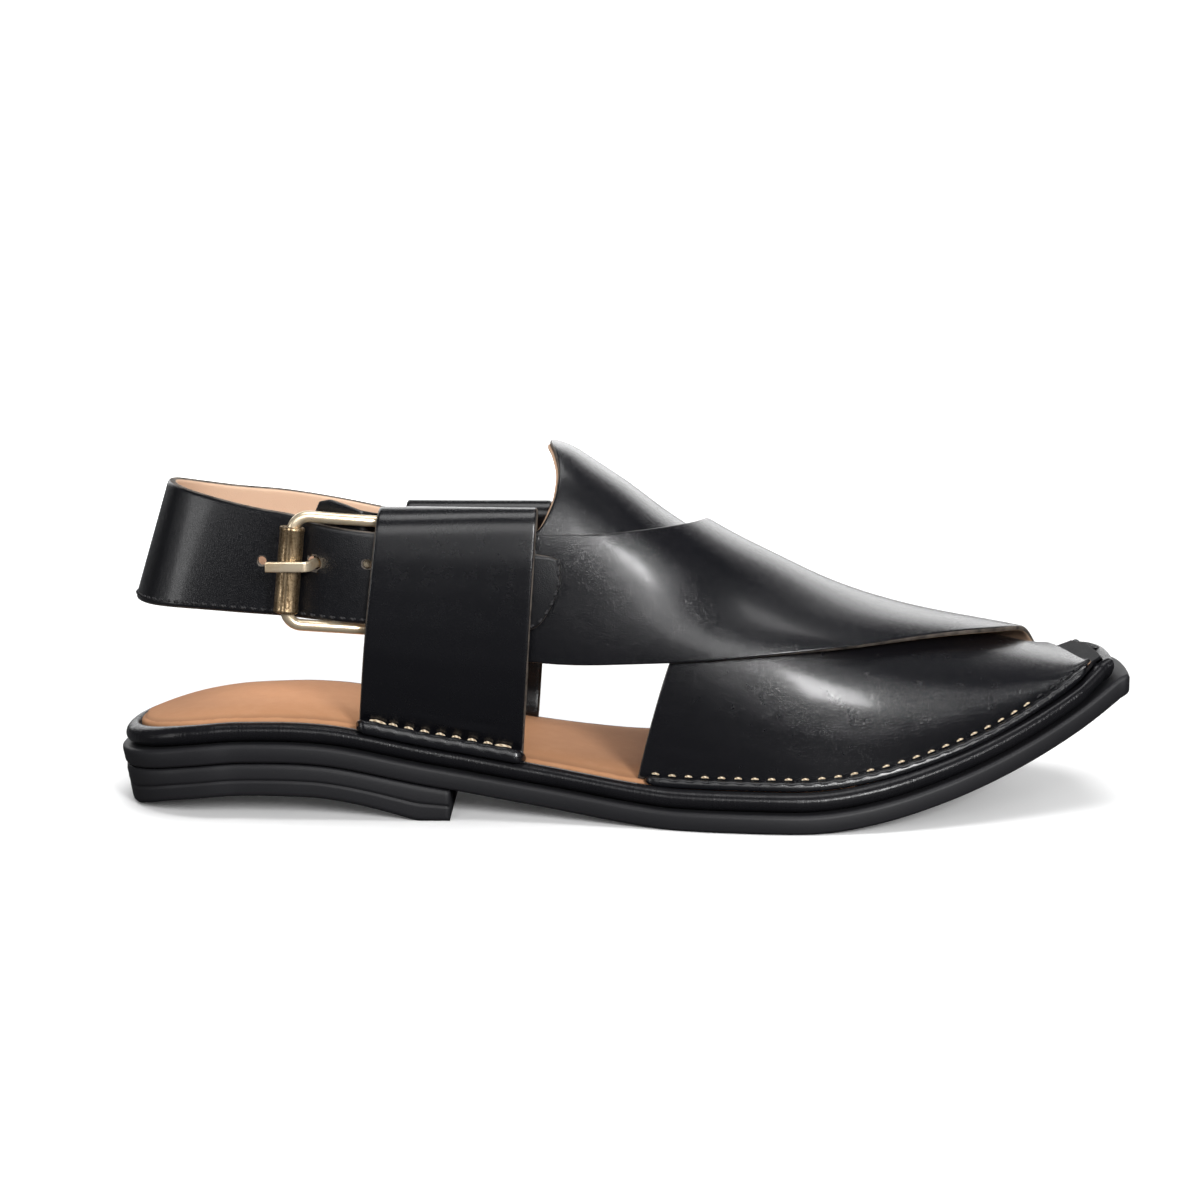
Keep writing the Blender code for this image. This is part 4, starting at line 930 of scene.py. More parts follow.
def tan_leather(name, tan, dark, toe):
    """The insole: smooth tan leather, a little darker where the foot presses, with fine pores."""
    n = Finish(name, Specular_IOR_Level=0.04, Coat_Roughness=0.45)
    grained = n.use(GRAIN, Cell=1150.0, Depth=0.5, Creases=0.25)
    scuff = n.use(SCUFFS, Amount=0.35, Size=0.8)["Mask"]
    pressed = n.step(n.noise(n.place(), 14.0, 3.0), 0.42, 0.68)
    edge = n.step(n.attribute("cross"), 0.0, 0.0035, 1.0, 0.0)
    colour = n.mix(n.times(pressed, 0.30), tan, dark)
    colour = n.mix(n.times(grained["Gloss Breaks"], 0.12), colour, (0.72, 0.47, 0.31, 1))
    colour = n.mix(n.times(edge, 0.45), colour, (0.22, 0.11, 0.06, 1))
    colour = n.mix(n.times(scuff, 0.5), colour, (0.30, 0.17, 0.10, 1))
    colour = n.mix(n.step(n.parts(n.place())[0], 0.084, 0.088), colour, toe)
    rough = n.plus(0.66, n.times(grained["Gloss Breaks"], 0.14))
    coat = n.times(grained["Cloud"], 0.06)
    return n.done(colour, rough, grained["Height"], 0.35, 0.00012, Coat_Weight=coat)


TREAD_PITCH = 0.0042
STRAND_TWIST = 5720.0


def rubber(name):
    """Charcoal rubber: matt, with a fine cast grain, pale scuffs and, underneath, shallow cross ribs."""
    n = Finish(name, Specular_IOR_Level=0.38)
    place = n.place()
    scuff = n.use(SCUFFS, Amount=0.8, Size=1.3)["Mask"]
    fine = n.noise(place, 1700.0, 3.0, 0.6)
    cloud = n.noise(place, 30.0, 4.0, 0.6)
    colour = n.mix(cloud, (0.0085, 0.0085, 0.0100, 1), (0.0135, 0.0132, 0.0155, 1))
    colour = n.mix(n.times(scuff, 0.5), colour, (0.12, 0.118, 0.12, 1))
    colour = n.mix(n.use(DUST, Amount=0.22)["Mask"], colour, (0.24, 0.23, 0.22, 1))
    rough = n.plus(n.plus(0.46, n.times(fine, 0.16)), n.times(scuff, 0.15))
    under = n.step(n.attribute("side"), -0.75, -0.5, 1.0, 0.0)
    waves = n.math("SINE", n.times(n.parts(place)[0], 2 * math.pi / TREAD_PITCH))
    ribs = n.times(n.times(n.step(waves, -0.4, 0.2), under), 5.0)
    return n.done(colour, rough, n.plus(n.times(fine, 0.5), ribs), 0.35, 0.00016)


def polished_gold(name):
    """Pale gold plate, polished, with faint brushing and a little wear on the rounds."""
    n = Finish(name, Metallic=0.80)
    cloud = n.noise(n.place(), 160.0, 4.0, 0.65)
    scratch = n.noise(n.stretched(n.place(), (300.0, 300.0, 2600.0)), 1.0, 3.0, 0.6)
    colour = n.mix(n.step(cloud, 0.35, 0.75), (0.97, 0.82, 0.60, 1), (0.88, 0.68, 0.44, 1))
    return n.done(colour, n.plus(0.24, n.times(scratch, 0.14)), scratch, 0.10, 0.00006)


def antique_brass(name):
    """The roller's brass: plate rubbed through in streaks along it, dark between them."""
    n = Finish(name, Metallic=1.0)
    streak = n.noise(n.stretched(n.place(), (1500.0, 1500.0, 140.0)), 1.0, 4.0, 0.7, 0.3)
    speck = n.noise(n.place(), 1400.0, 3.0, 0.75)
    worn = n.step(n.plus(n.times(streak, 0.6), n.times(speck, 0.4)), 0.40, 0.62)
    colour = n.mix(worn, (0.13, 0.085, 0.045, 1), (0.62, 0.46, 0.28, 1))
    rough = n.math("SUBTRACT", 0.52, n.times(worn, 0.22))
    return n.done(colour, rough, n.plus(streak, speck), 0.35, 0.00010)


def thread(name, light, dark):
    """Waxed thread: two strands laid round each other, seen as slanting bands along the stitch, with painted
    shade darkening the grooves between the strands.
    """
    n = Finish(name, Specular_IOR_Level=0.3)
    twist = n.times(n.attribute("run"), STRAND_TWIST)
    turn = n.times(n.attribute("cross"), 2 * math.pi)
    strand_and_groove_shade = n.step(n.math("SINE", n.plus(twist, turn)), -0.8, 0.5)
    dirt = n.noise(n.place(), 700.0, 3.0)
    # The dark colour is painted shade in the grooves between the strands, and is also the colour of the dirt.
    colour = n.mix(n.times(n.step(dirt, 0.45, 0.7), 0.35), n.mix(strand_and_groove_shade, dark, light), dark)
    return n.done(colour, n.plus(0.55, n.times(dirt, 0.2)), strand_and_groove_shade, 0.5, 0.00010)


LEATHER_UPPER = black_leather("upper_black_leather")
LEATHER_VAMP = black_leather("vamp_black_leather", gloss=0.24, grain=1.25)
LEATHER_LOOP = black_leather("loop_black_leather", gloss=0.25, lined=False, grain=0.55)
LEATHER_STRAP = black_leather("strap_black_leather", gloss=0.29)
MATT_LEATHER = black_leather("toe_cover_matt_leather", 0.62, False, coat=0.0, sheen=0.2, edge=BLACK)
LINING = tan_leather("lining_tan_leather", TAN_PALE, TAN_CLOUD, TAN_DARK)
RIM = rim_leather()
INSOLE = tan_leather("insole_tan_leather", TAN, TAN_DARK, BLACK)
RUBBER_OUTSOLE = rubber("outsole_charcoal_rubber")
RUBBER_HEEL = rubber("heel_charcoal_rubber")
GOLD = polished_gold("buckle_pale_gold")
BRASS = antique_brass("roller_antique_brass")
# Each thread's second colour serves as its dirt and as the painted shade in its strand grooves.
THREAD_PALE = thread("thread_natural", (0.80, 0.68, 0.50, 1), (0.42, 0.31, 0.20, 1))
THREAD_BLACK = thread("thread_black", (0.035, 0.034, 0.036, 1), (0.010, 0.010, 0.011, 1))


# The sole


def ring(inset, height, toe_extra=0.0, shift=None):
    """The sole's two edge lines, lateral and medial, moved inwards, with heights from a function of x."""
    pair = []
    for side in (LATERAL, MEDIAL):
        plan = inset_points(side, inset, toe_extra)
        if shift:
            plan[:, 0] = shift(plan[:, 0])
        pair.append(np.column_stack([plan, height(plan[:, 0])]))
    return pair


def layer(profile):
    """Rings of a layer on the outsole, from its insets and heights above the outsole's lower face."""
    return [ring(inset, lambda x, h=height: stack(x, h), RIM_TOE_INSET) for inset, height in profile]


def slab(name, rings, material, node, columns=28, crown=0.0, pointed=True):
    """A sole layer: closed rings stacked into a wall, with the top and the bottom ruled across.

    Each ring is a lateral and a medial line; the faces above and below run straight from one to the other,
    and the top is lifted by a crown that is flat in the middle. side is 1 above, -1 below and 0 on the wall,
    cross the distance in from the edge.
    """
    end = -1 if pointed else None
    wall = np.stack([np.concatenate([lateral, medial[1:end][::-1]]) for lateral, medial in rings])
    rows, cols = wall.shape[:2]
    run = reach_of(np.append(wall[-1], wall[-1][:1], axis=0))[:-1]
    depth = np.concatenate([[0], np.cumsum(np.linalg.norm(np.diff(wall, axis=0), axis=2).mean(1))])
    points, quads = [wall.reshape(-1, 3)], [grid_quads(rows, cols, wrap=True)]
    fields = [[np.zeros(rows * cols)], [np.tile(run, rows)], [np.repeat(depth, cols)]]
    share = (1 - np.cos(np.linspace(0, math.pi, columns))) / 2
    for sign, (lateral, medial) in ((-1, rings[0]), (1, rings[-1])):
        face = lateral[:, None] * (1 - share)[:, None] + medial[:, None] * share[:, None]
        inward = np.minimum(share, 1 - share) * np.linalg.norm(medial - lateral, axis=1)[:, None]
        if sign > 0:
            fade = 1 - ease((along(face[:, :, 0]) - 0.80) / 0.08)
            rise = 1 - (1 - np.clip(inward / 0.014, 0, 1)) ** 2
            face[:, :, 2] += crown * rise * fade
        quads.append(grid_quads(*inward.shape, sum(map(len, points))))
        points.append(face.reshape(-1, 3))
        for field, values in zip(fields, (0 * inward + sign, 0 * inward, inward)):
            field.append(values.ravel())
    fields = [np.concatenate(field) for field in fields]
    return finish_mesh(name, np.concatenate(points), np.concatenate(quads), fields, material, node)


def make_outsole():
    """The outsole, rounded at both rims, its heel end raked forwards on the way down."""
    profile = (
        # inset, share of the thickness
        (0.0012, 0.00), (0.0006, 0.03), (0.0002, 0.09), (0.0000, 0.18), (0.0000, 0.52),
        (0.0000, 0.80), (0.0002, 0.91), (0.0006, 0.97), (0.0011, 1.00),
    )
    rings = []
    for inset, share in profile:
        shift = rake(OUTSOLE_THICK * (1 - share))
        rings.append(ring(inset, lambda x, h=share: stack(x, OUTSOLE_TOP * h), shift=shift))
    slab("outsole_rubber", rings, RUBBER_OUTSOLE, "outsole")


def make_heel_block():
    """The heel block, straight across at the breast, with a groove round it at half its height."""

    def clipped(pair):
        sides = []
        for line in pair:
            kept = line[line[:, 0] < BREAST_X - 0.0004]
            after = line[len(kept)]
            share = (BREAST_X - kept[-1, 0]) / (after[0] - kept[-1, 0])
            sides.append(np.vstack([kept, kept[-1] * (1 - share) + after * share]))
        shortest = min(len(line) for line in sides)
        return [np.vstack([line[: shortest - 1], line[-1:]]) for line in sides]

    full = OUTSOLE_THICK + SEAT_RISE - HEEL_ARCH
    profile = (
        # inset, share of the way up
        (0.0010, 0.00), (0.0005, 0.02), (0.0001, 0.07), (0.0000, 0.15), (0.0000, 0.40), (0.00005, 0.475),
        (0.00035, 0.49), (0.00035, 0.51), (0.00005, 0.525), (0.0000, 0.60), (0.0000, 0.85), (0.0003, 0.97),
        (0.0006, 1.00),
    )
    rings = []
    for inset, share in profile:
        pair = clipped(ring(inset, np.zeros_like))
        for line in pair:
            line[:, 0] = rake(full * (1 - share) + OUTSOLE_THICK * share)(line[:, 0])
            bottom = heel_underside(line[:, 0])
            line[:, 2] = bottom + (underside(line[:, 0]) - FIT_GAP - bottom) * share
        rings.append(pair)
    slab("heel_block_rubber", rings, RUBBER_HEEL, "heel_block", pointed=False)


ROLL_REACH = 0.0030


def make_footbed():
    """The rim, a half round outside, a crest and a fall into the recess, and the insole that lies in it."""
    half = FOOTBED_THICK / 2
    rim = [(RIM_OUT + ROLL_REACH, 0.0)]
    for angle in np.radians(np.linspace(-80, 100, 19)):
        rim.append((RIM_OUT + ROLL_REACH - ROLL_REACH * math.cos(angle), half + half * math.sin(angle)))
    rim.append((RIM_CREST_INSET + 0.0006, 0.955 * FOOTBED_THICK))
    rim.append((RECESS_INSET - 0.0003, 0.86 * FOOTBED_THICK))
    rim.append((RECESS_INSET, 0.60 * FOOTBED_THICK))
    rings = layer([(inset, FOOTBED_LOW + height) for inset, height in rim])
    slab("footbed_rolled_rim", rings, RIM, "footbed_rim")

    edge = RECESS_INSET + 0.0002
    insole = (
        (edge + 0.0002, INSOLE_LOW), (edge, INSOLE_LOW + 0.0006), (edge, INSOLE_EDGE - 0.0008),
        (edge + 0.0002, INSOLE_EDGE - 0.0004), (edge + 0.0006, INSOLE_EDGE - 0.0001),
        (edge + 0.0012, INSOLE_EDGE),
    )
    slab("insole_sock", layer(insole), INSOLE, "insole", 40, INSOLE_CROWN + 0.0004)


TOE_COVER_START_X = 0.0600
TOE_COVER_WIDTH = 0.050
TOE_COVER_THICK = 0.0008


def make_toe_cover():
    """The black cover on the toe end of the insole, below the open end of the vamp."""
    lines = [inset_points(side, RECESS_INSET - 0.0008, RIM_TOE_INSET) for side in (LATERAL, MEDIAL)]
    end = min(line[:, 0].max() for line in lines) - 0.0002
    length = end - TOE_COVER_START_X

    def middle(u, v):
        x = TOE_COVER_START_X + length * u[:, 0]
        low, high = (np.interp(x, line[:, 0], line[:, 1])[:, None] for line in lines)
        z = stack(x, INSOLE_EDGE + 0.0003)[:, None]
        return np.stack([x[:, None] + 0 * v, low * (1 - v) + high * v, z + 0 * v], axis=-1)

    size = length, TOE_COVER_WIDTH
    sheet("toe_cover", middle, TOE_COVER_THICK, size, (110, 40), MATT_LEATHER, "insole", up=True)


# The upper


def dent(run, cross, centre, size, depth, turn=0.0):
    """A soft ridge or trough: a bell of a given length and width, turned about its centre."""
    c, s = math.cos(turn), math.sin(turn)
    a = (run - centre[0]) * c + (cross - centre[1]) * s
    b = (cross - centre[1]) * c - (run - centre[0]) * s
    return depth * np.exp(-((a / size[0]) ** 2) - (b / size[1]) ** 2)


def creases(table, run, cross):
    """The sum of the ridges and troughs in a table."""
    return sum(dent(run, cross, row[:2], row[2:4], *row[4:]) for row in table)


VAMP_CREASES = (
    # x, across, length, width, depth, turn
    (0.0165, -0.952, 0.0040, 0.006, 0.00022, 0.0),
    (0.0215, -0.940, 0.0045, 0.006, -0.00016, 0.2),
    (0.0270, -0.950, 0.0035, 0.006, 0.00016, -0.3),
    (0.0330, -0.960, 0.0030, 0.005, 0.00012, 0.3),
    (0.0460, -0.900, 0.0160, 0.070, -0.00012, 0.4),
)

STRAP_CREASES = (
    # x, across, length, width, depth
    (-0.0080, -0.690, 0.0300, 0.110, -0.00050),
    (0.0500, -0.520, 0.0360, 0.260, -0.00030),
    (0.0300, 0.500, 0.0300, 0.160, 0.00030),
    (0.0700, 0.540, 0.0340, 0.160, -0.00030),
)

# Each leather's length and width
VAMP_SIZE = (0.110, 0.125)
TONGUE_SIZE = (0.190, 0.058)
LINING_SIZE = (0.144, 0.058)
STRAP_OVER_SIZE = (0.205, 0.085)
LINING_THICK = 0.0009


def off_last(places, off):
    """The last at places on it, moved outwards by a distance."""
    base = last_surface(*places)
    return base + outward(base) * off


def make_vamp():
    """The front vamp, from its flange at the lateral foot over the toes to where the strap covers it."""

    def places(u, v):
        across = -1 + (VAMP_REACH + 1) * u + 0 * v
        back, front = (at_share(smooth(VAMP_EDGES, column, across)) for column in (1, 2))
        return back * (1 - v) + front * v, across

    def relief(u, v):
        return creases(VAMP_CREASES, *places(u, v))

    middle = softened(lambda u, v: off_last(places(u, v), LEATHER / 2), (120, 90), 10)
    sheet("vamp_front", middle, LEATHER, VAMP_SIZE, (150, 140), LEATHER_VAMP, "upper", relief)


def band_places(table, u, v):
    """The places of a band on the last, u along its length and v from its back edge to its front edge."""
    back_x, back_t, front_x, front_t = (column_curve(table, column, u) for column in range(4))
    return at_share(back_x) * (1 - v) + at_share(front_x) * v, back_t * (1 - v) + front_t * v


def make_tongue():
    """The saddle with the tongue, under the crossing, with a tail into each side loop, and its lining."""

    def middle(u, v):
        return off_last(band_places(TONGUE_EDGES, u, v), LEATHER / 2 - TONGUE_SINK)

    def lining(u, v):
        x, across = band_places(TONGUE_EDGES, 0.12 + 0.76 * u, v)
        return off_last((x - 0.0005, across), -(LINING_THICK / 2 + TONGUE_SINK))

    middle = softened(middle, (150, 60), 8)
    sheet("tongue_saddle", middle, LEATHER, TONGUE_SIZE, (190, 70), LEATHER_UPPER, "upper")
    sheet("tongue_lining", lining, LINING_THICK, LINING_SIZE, (150, 60), LINING, "upper")


def make_strap_over():
    """The outer strap, from the lateral loop over the instep to its flange at the medial foot."""

    def middle(u, v):
        seat, rise, lift = (column_curve(STRAP_OVER_EDGES, column, u) for column in (4, 5, 6))
        off = seat + rise * np.exp(-((v / 0.30) ** 2)) + lift * ease((v - 0.25) / 0.75) ** 1.6 + 0.5
        return off_last(band_places(STRAP_OVER_EDGES, u, v), (off * LEATHER)[:, :, None])

    def relief(u, v):
        return creases(STRAP_CREASES, *band_places(STRAP_OVER_EDGES, u, v))

    middle = softened(middle, (150, 80), 28)
    sheet("strap_over", middle, LEATHER, STRAP_OVER_SIZE, (210, 110), LEATHER_UPPER, "upper", relief)


# Loops, heel strap and buckle

# Where the outer leaf leaves the foot, measured along the strip
LEAF_START = 0.0045 + FLANGE
LOOP_CREASES = (
    # run, cross, length, width, depth
    (LEAF_START + 0.0016, 0.60 * LOOP_WIDTH, 0.0007, 0.0080, 0.00030),
    (LEAF_START + 0.0030, 0.42 * LOOP_WIDTH, 0.0007, 0.0060, 0.00022),
    (LEAF_START + 0.0042, 0.75 * LOOP_WIDTH, 0.0008, 0.0050, -0.00022),
)


def make_loop(name, side, node):
    """A side loop: thirteen slices from flange to fold to inner foot, eased, with straight lines between."""
    slices = np.stack([loop_path(share, side) for share in np.linspace(0, 1, 13)])
    reach = reach_of(slices[6])
    length = reach[-1]
    fine = np.linspace(0, length, 400)
    lines = [relax(read_path(fine, reach, line), 40) for line in slices]

    def middle(u, v):
        stacked = np.stack([read_path(u[:, 0] * length, fine, line) for line in lines], axis=1)
        place = v[0] * (len(lines) - 1)
        low = np.clip(place.astype(int), 0, len(lines) - 2)
        part = (place - low)[None, :, None]
        return stacked[:, low] * (1 - part) + stacked[:, low + 1] * part

    def relief(u, v):
        return creases(LOOP_CREASES, u * length, v * LOOP_WIDTH)

    size = length, LOOP_WIDTH
    sheet(name, middle, LOOP_LEATHER, size, (200, 60), LEATHER_LOOP, node, relief)


PUNCH_REACH = 0.006


def punched(piece, holes):
    """Punches round holes through a piece, along Y."""
    sides = 24
    for x, y, radius in holes:
        rim = np.insert(circle(sides) * radius, 1, y, axis=1) + (x, 0, HOLE_Z)
        ends = np.concatenate([rim - (0, PUNCH_REACH, 0), rim + (0, PUNCH_REACH, 0)])
        faces = [tuple(range(sides)), tuple(range(2 * sides - 1, sides - 1, -1))]
        faces += [(k, (k + 1) % sides, sides + (k + 1) % sides, sides + k) for k in range(sides)]
        mesh = bpy.data.meshes.new("punch")
        mesh.from_pydata(ends.tolist(), [], faces)
        build = bmesh.new()
        build.from_mesh(mesh)
        bmesh.ops.recalc_face_normals(build, faces=build.faces[:])
        build.to_mesh(mesh)
        build.free()
        punch = bpy.data.objects.new("punch", mesh)
        bpy.context.scene.collection.objects.link(punch)
        hole = piece.modifiers.new("hole", "BOOLEAN")
        hole.operation, hole.solver, hole.object = "DIFFERENCE", "EXACT", punch
        depsgraph = bpy.context.evaluated_depsgraph_get()
        cut = bpy.data.meshes.new_from_object(piece.evaluated_get(depsgraph))
        piece.modifiers.clear()
        piece.data = cut
        bpy.data.objects.remove(punch, do_unlink=True)


STRAP_HEIGHT = 0.0365
STRAP_LENGTH = 0.300


def make_heel_strap():
    """The lined heel strap on its middle surface, read from a dense grid, with its holes punched."""
    dense = strap_mid(rows=420, cols=41)
    rows, cols = dense.shape[:2]

    def middle(u, v):
        a, b = u[:, 0] * (rows - 1), v[0] * (cols - 1)
        i, j = np.clip(a.astype(int), 0, rows - 2), np.clip(b.astype(int), 0, cols - 2)
        s, t = (a - i)[:, None, None], (b - j)[None, :, None]
        top, low = (dense[k][:, j] * (1 - t) + dense[k][:, j + 1] * t for k in (i, i + 1))
        return top * (1 - s) + low * s

    size = STRAP_LENGTH, STRAP_HEIGHT
    piece = sheet("heel_strap_lined", middle, STRAP_THICK, size, (330, 34), LEATHER_STRAP,
                  "heel_strap")
    holes = []
    for k in range(HOLE_COUNT):
        x = PRONG_HOLE_X + (k - 1) * HOLE_PITCH
        holes.append((x, strap_at(x), PRONG_HOLE_RADIUS if k == 1 else HOLE_RADIUS))
    punched(piece, holes)


WIRE_BEND = 0.0046
BAR_THICK = 0.0013
BAR_WIDTH = PRONG_WIDTH + 0.0004
ROLLER, FRAME_RUN, FRAME_UP = buckle_frame_axes()
FRAME_LONG = BUCKLE_LENGTH - 2 * WIRE_RADIUS
EYE = ROLLER + FRAME_RUN * FRAME_LONG
EYE = EYE + FRAME_UP * (HOLE_Z - EYE[2]) / FRAME_UP[2]


def make_buckle_frame():
    """The frame: a round wire bent to a rectangle with round corners."""
    out = np.cross(FRAME_RUN, FRAME_UP)
    out = out if out[1] < 0 else -out
    half = BUCKLE_HEIGHT / 2 - WIRE_RADIUS
    turn = np.radians(np.linspace(0, 90, 13))
    line = []
    for across, height, start in (
        # across, height, degrees at which the corner's arc starts
        (0, -half, 180), (FRAME_LONG, -half, 270), (FRAME_LONG, half, 0), (0, half, 90),
    ):
        arc = turn + math.radians(start)
        a = across + (WIRE_BEND if across == 0 else -WIRE_BEND) + WIRE_BEND * np.cos(arc)
        h = height + (WIRE_BEND if height < 0 else -WIRE_BEND) + WIRE_BEND * np.sin(arc)
        line.append(ROLLER + a[:, None] * FRAME_RUN + h[:, None] * FRAME_UP)
    path = np.concatenate(line)
    rings = swept(path, np.broadcast_to(out, path.shape), circle(24) * WIRE_RADIUS * 1.06, closed=True)
    tube("buckle_wire", rings, GOLD, "buckle_frame", closed=True)


def make_roller():
    """The roller, a tube bent from plate: a little out of round, with a seam and a bead at each end."""
    angle = np.linspace(0, 2 * math.pi, 72, endpoint=False)
    facets = 1 + 0.018 * np.cos(5 * angle + 0.6) - 0.05 * np.exp(-((angle - 3.4) / 0.06) ** 2)
    profile = (
        # place along, radius
        (-0.500, 0.62), (-0.500, 0.90), (-0.494, 0.98), (-0.484, 1.02), (-0.460, 1.02), (-0.445, 0.985),
        (-0.20, 0.985), (0.0, 0.985), (0.20, 0.985), (0.445, 0.985), (0.460, 1.02), (0.484, 1.02),
        (0.494, 0.98), (0.500, 0.90), (0.500, 0.62), (0.30, 0.60), (-0.30, 0.60),
    )
    spoke = np.cos(angle)[:, None] * np.cross(FRAME_UP, FRAME_RUN) + np.sin(angle)[:, None] * FRAME_RUN
    rings = []
    for place, radius in profile:
        reach = radius * ROLLER_RADIUS * (facets if radius > 0.7 else 0 * facets + 1)
        rings.append(ROLLER + FRAME_UP * place * ROLLER_LENGTH + spoke * reach[:, None])
    tube("buckle_roller_tube", np.stack(rings), BRASS, "buckle_roller", closed=True)


def make_prong():
    """The flat prong, from the hinge behind the strap, through its hole and over the roller."""
    hole = np.array((PRONG_HOLE_X, strap_at(PRONG_HOLE_X)))
    clear = ROLLER_RADIUS + FIT_GAP + BAR_THICK / 2
    eye_gap = WIRE_RADIUS + FIT_GAP + PRONG_THICK / 2
    inside = STRAP_THICK / 2 + 2 * FIT_GAP + PRONG_THICK / 2
    plan = np.array([
        (EYE[0] - eye_gap * 0.8, EYE[1] - eye_gap * 0.5),
        (EYE[0] - 0.0060, strap_at(EYE[0] - 0.0060) + inside + 0.0002),
        (EYE[0] - 0.0100, strap_at(EYE[0] - 0.0100) + inside),
        (hole[0] + 0.0027, strap_at(hole[0] + 0.0027) + inside),
        (hole[0] + 0.0010, hole[1] + STRAP_THICK / 2 + 0.0004),
        (hole[0] + 0.0001, hole[1] - 0.0006),
        (hole[0] - 0.0006, ROLLER[1] - clear * 0.80),
        (hole[0] - 0.0016, ROLLER[1] - clear - 0.0001),
        (ROLLER[0], ROLLER[1] - clear - 0.0002),
        (ROLLER[0] - 0.0030, ROLLER[1] - clear - 0.0002),
        (ROLLER[0] - 0.0060, ROLLER[1] - clear - 0.0001),
    ])
    reach = reach_of(plan)
    line = relax(np.insert(read_path(np.linspace(0, reach[-1], 140), reach, plan), 2, HOLE_Z, axis=1), 5)
    section = np.sign(circle(32)) * np.abs(circle(32)) ** 0.35 * (BAR_THICK / 2, BAR_WIDTH / 2)
    rings = swept(line, np.broadcast_to((0.0, -1.0, 0.02), line.shape), section)
    tube("buckle_prong_bar", rings, GOLD, "buckle_prong")


FLAP_LENGTH = 0.028


def make_flap():
    """The guard flap behind the buckle, which follows the strap's inner face and narrows at both ends."""
    past_eye = EYE[1] + WIRE_RADIUS + 2 * FIT_GAP + PRONG_THICK + CHAPE_THICK / 2
    behind = STRAP_THICK / 2 + PRONG_THICK + 4 * FIT_GAP + CHAPE_THICK / 2
    plan = [(EYE[0] + past, past_eye) for past in (0.0060, 0.0025, -0.0010)]
    for step in (0.35, 0.55, 0.75, 0.90, 1.00):
        x = EYE[0] - CHAPE_REACH * step
        plan.append((x, strap_at(x) + behind + 0.0008 * float(ease((1 - step) / 0.5))))
    plan = np.array(plan)
    tall = np.array((0.72, 0.74, 0.76, 0.84, 0.93, 1.00, 0.94, 0.62))
    level = EYE[2] + CHAPE_RISE - CHAPE_SLOPE * (plan[:, 0] - EYE[0])
    table = np.column_stack([plan, level, tall])

    def middle(u, v):
        rows = read_path(u[:, 0] * (len(table) - 1), np.arange(len(table)), table)
        x, y, height, size = (column[:, None] for column in rows.T)
        z = height + CHAPE_HEIGHT * size * (v - 0.5)
        return np.stack([x + 0 * z, y + 0 * z, z], axis=-1)

    size = FLAP_LENGTH, CHAPE_HEIGHT
    sheet("buckle_guard_flap", middle, CHAPE_THICK, size, (50, 30), LEATHER_LOOP, "buckle_chape")


# Stitching and foot strips

VAMP_GROOVE = (0.0022, 0.0022)
LOOP_GROOVE = (0.0029, 0.0030)
VAMP_STRIP = (
    # out, up
    (0.0012, 0.0012), (0.0018, 0.0015), (0.0023, 0.0015), (0.0028, 0.0017), (0.0034, 0.0018),
    (0.0040, 0.0014), (0.0043, 0.0007), (0.0044, -0.0001), (0.0041, -0.0009), (0.0028, -0.0009),
    (0.0012, -0.0005),
)
LOOP_STRIP = (
    # out, up
    (0.0008, 0.0018), (0.0016, 0.0022), (0.0025, 0.0023), (0.0030, 0.0025), (0.0037, 0.0032),
    (0.0044, 0.0032), (0.0050, 0.0025), (0.0054, 0.0014), (0.0055, 0.0002), (0.0052, -0.0008),
    (0.0030, -0.0009), (0.0008, -0.0005),
)
FOOT_END = 0.0035
TOE_RIM_STITCHES_X = 0.108


def foot_line(xs, side):
    """Points along the foot of the upper, where the last meets the insole."""
    return last_surface(xs, np.full(xs.shape, float(side)))


def foot_strip(name, first, last, count, side, section, slot, node):
    """The turned-out foot of the upper: a section carried along the foot line, rounded off at both ends.

    Its places are crowded at both ends, the section's corners are averaged with their neighbours, and it
    grows wider towards the toe.
    """
    xs = first + (last - first) * (1 - np.cos(np.linspace(0, math.pi, count))) / 2
    centre = foot_line(xs, side)
    reach = reach_of(centre)
    depth = np.clip(np.minimum(reach, reach[-1] - reach) / FOOT_END, 0, 1)
    swell = np.sqrt(np.clip(1 - (1 - depth) ** 2, 0, 1))
    shape = np.array(section)
    turn = np.linspace(0, 1, 5 * len(shape), endpoint=False) * len(shape)
    k = turn.astype(int)
    part = (turn - k)[:, None]
    fine = shape[k] * (1 - part) + shape[(k + 1) % len(shape)] * part
    for _ in range(4):
        fine = fine * 0.5 + (np.roll(fine, 1, axis=0) + np.roll(fine, -1, axis=0)) * 0.25
    base = np.array((shape[:, 0].min(), 0.0))
    out, up = np.moveaxis(base + (fine - base)[None] * (0.04 + 0.96 * swell[:, None, None]), -1, 0)
    out = out * (1.07 + 0.31 * ease((xs - 0.055) / 0.055)[:, None])
    ripple = 0.00012 * np.sin(reach * 1300)[:, None] * (up > 0.001)
    rings = centre[:, None] + np.stack([0 * out, side * out, up + ripple], axis=-1)
    tube(name, rings, LEATHER_LOOP, node)


def make_foot_strips():
    """The flange of the vamp, of the strap's far foot and of both loops."""
    foot_strip("vamp_foot_flange", 0.0065, 0.1380, 260, LATERAL, VAMP_STRIP, "upper", "upper")
    foot_strip("strap_foot_flange", 0.0250, 0.1320, 220, MEDIAL, VAMP_STRIP, "upper", "upper")
    for side, word, past in ((LATERAL, "lateral", 0.0009), (MEDIAL, "medial", -0.0008)):
        front = float(at_share(LOOP_FRONT[side]))
        ends = front - LOOP_WIDTH - past, front + past
        foot_strip("loop_foot_flange_" + word, *ends, 110, side, LOOP_STRIP, "loops", word + "_loop")


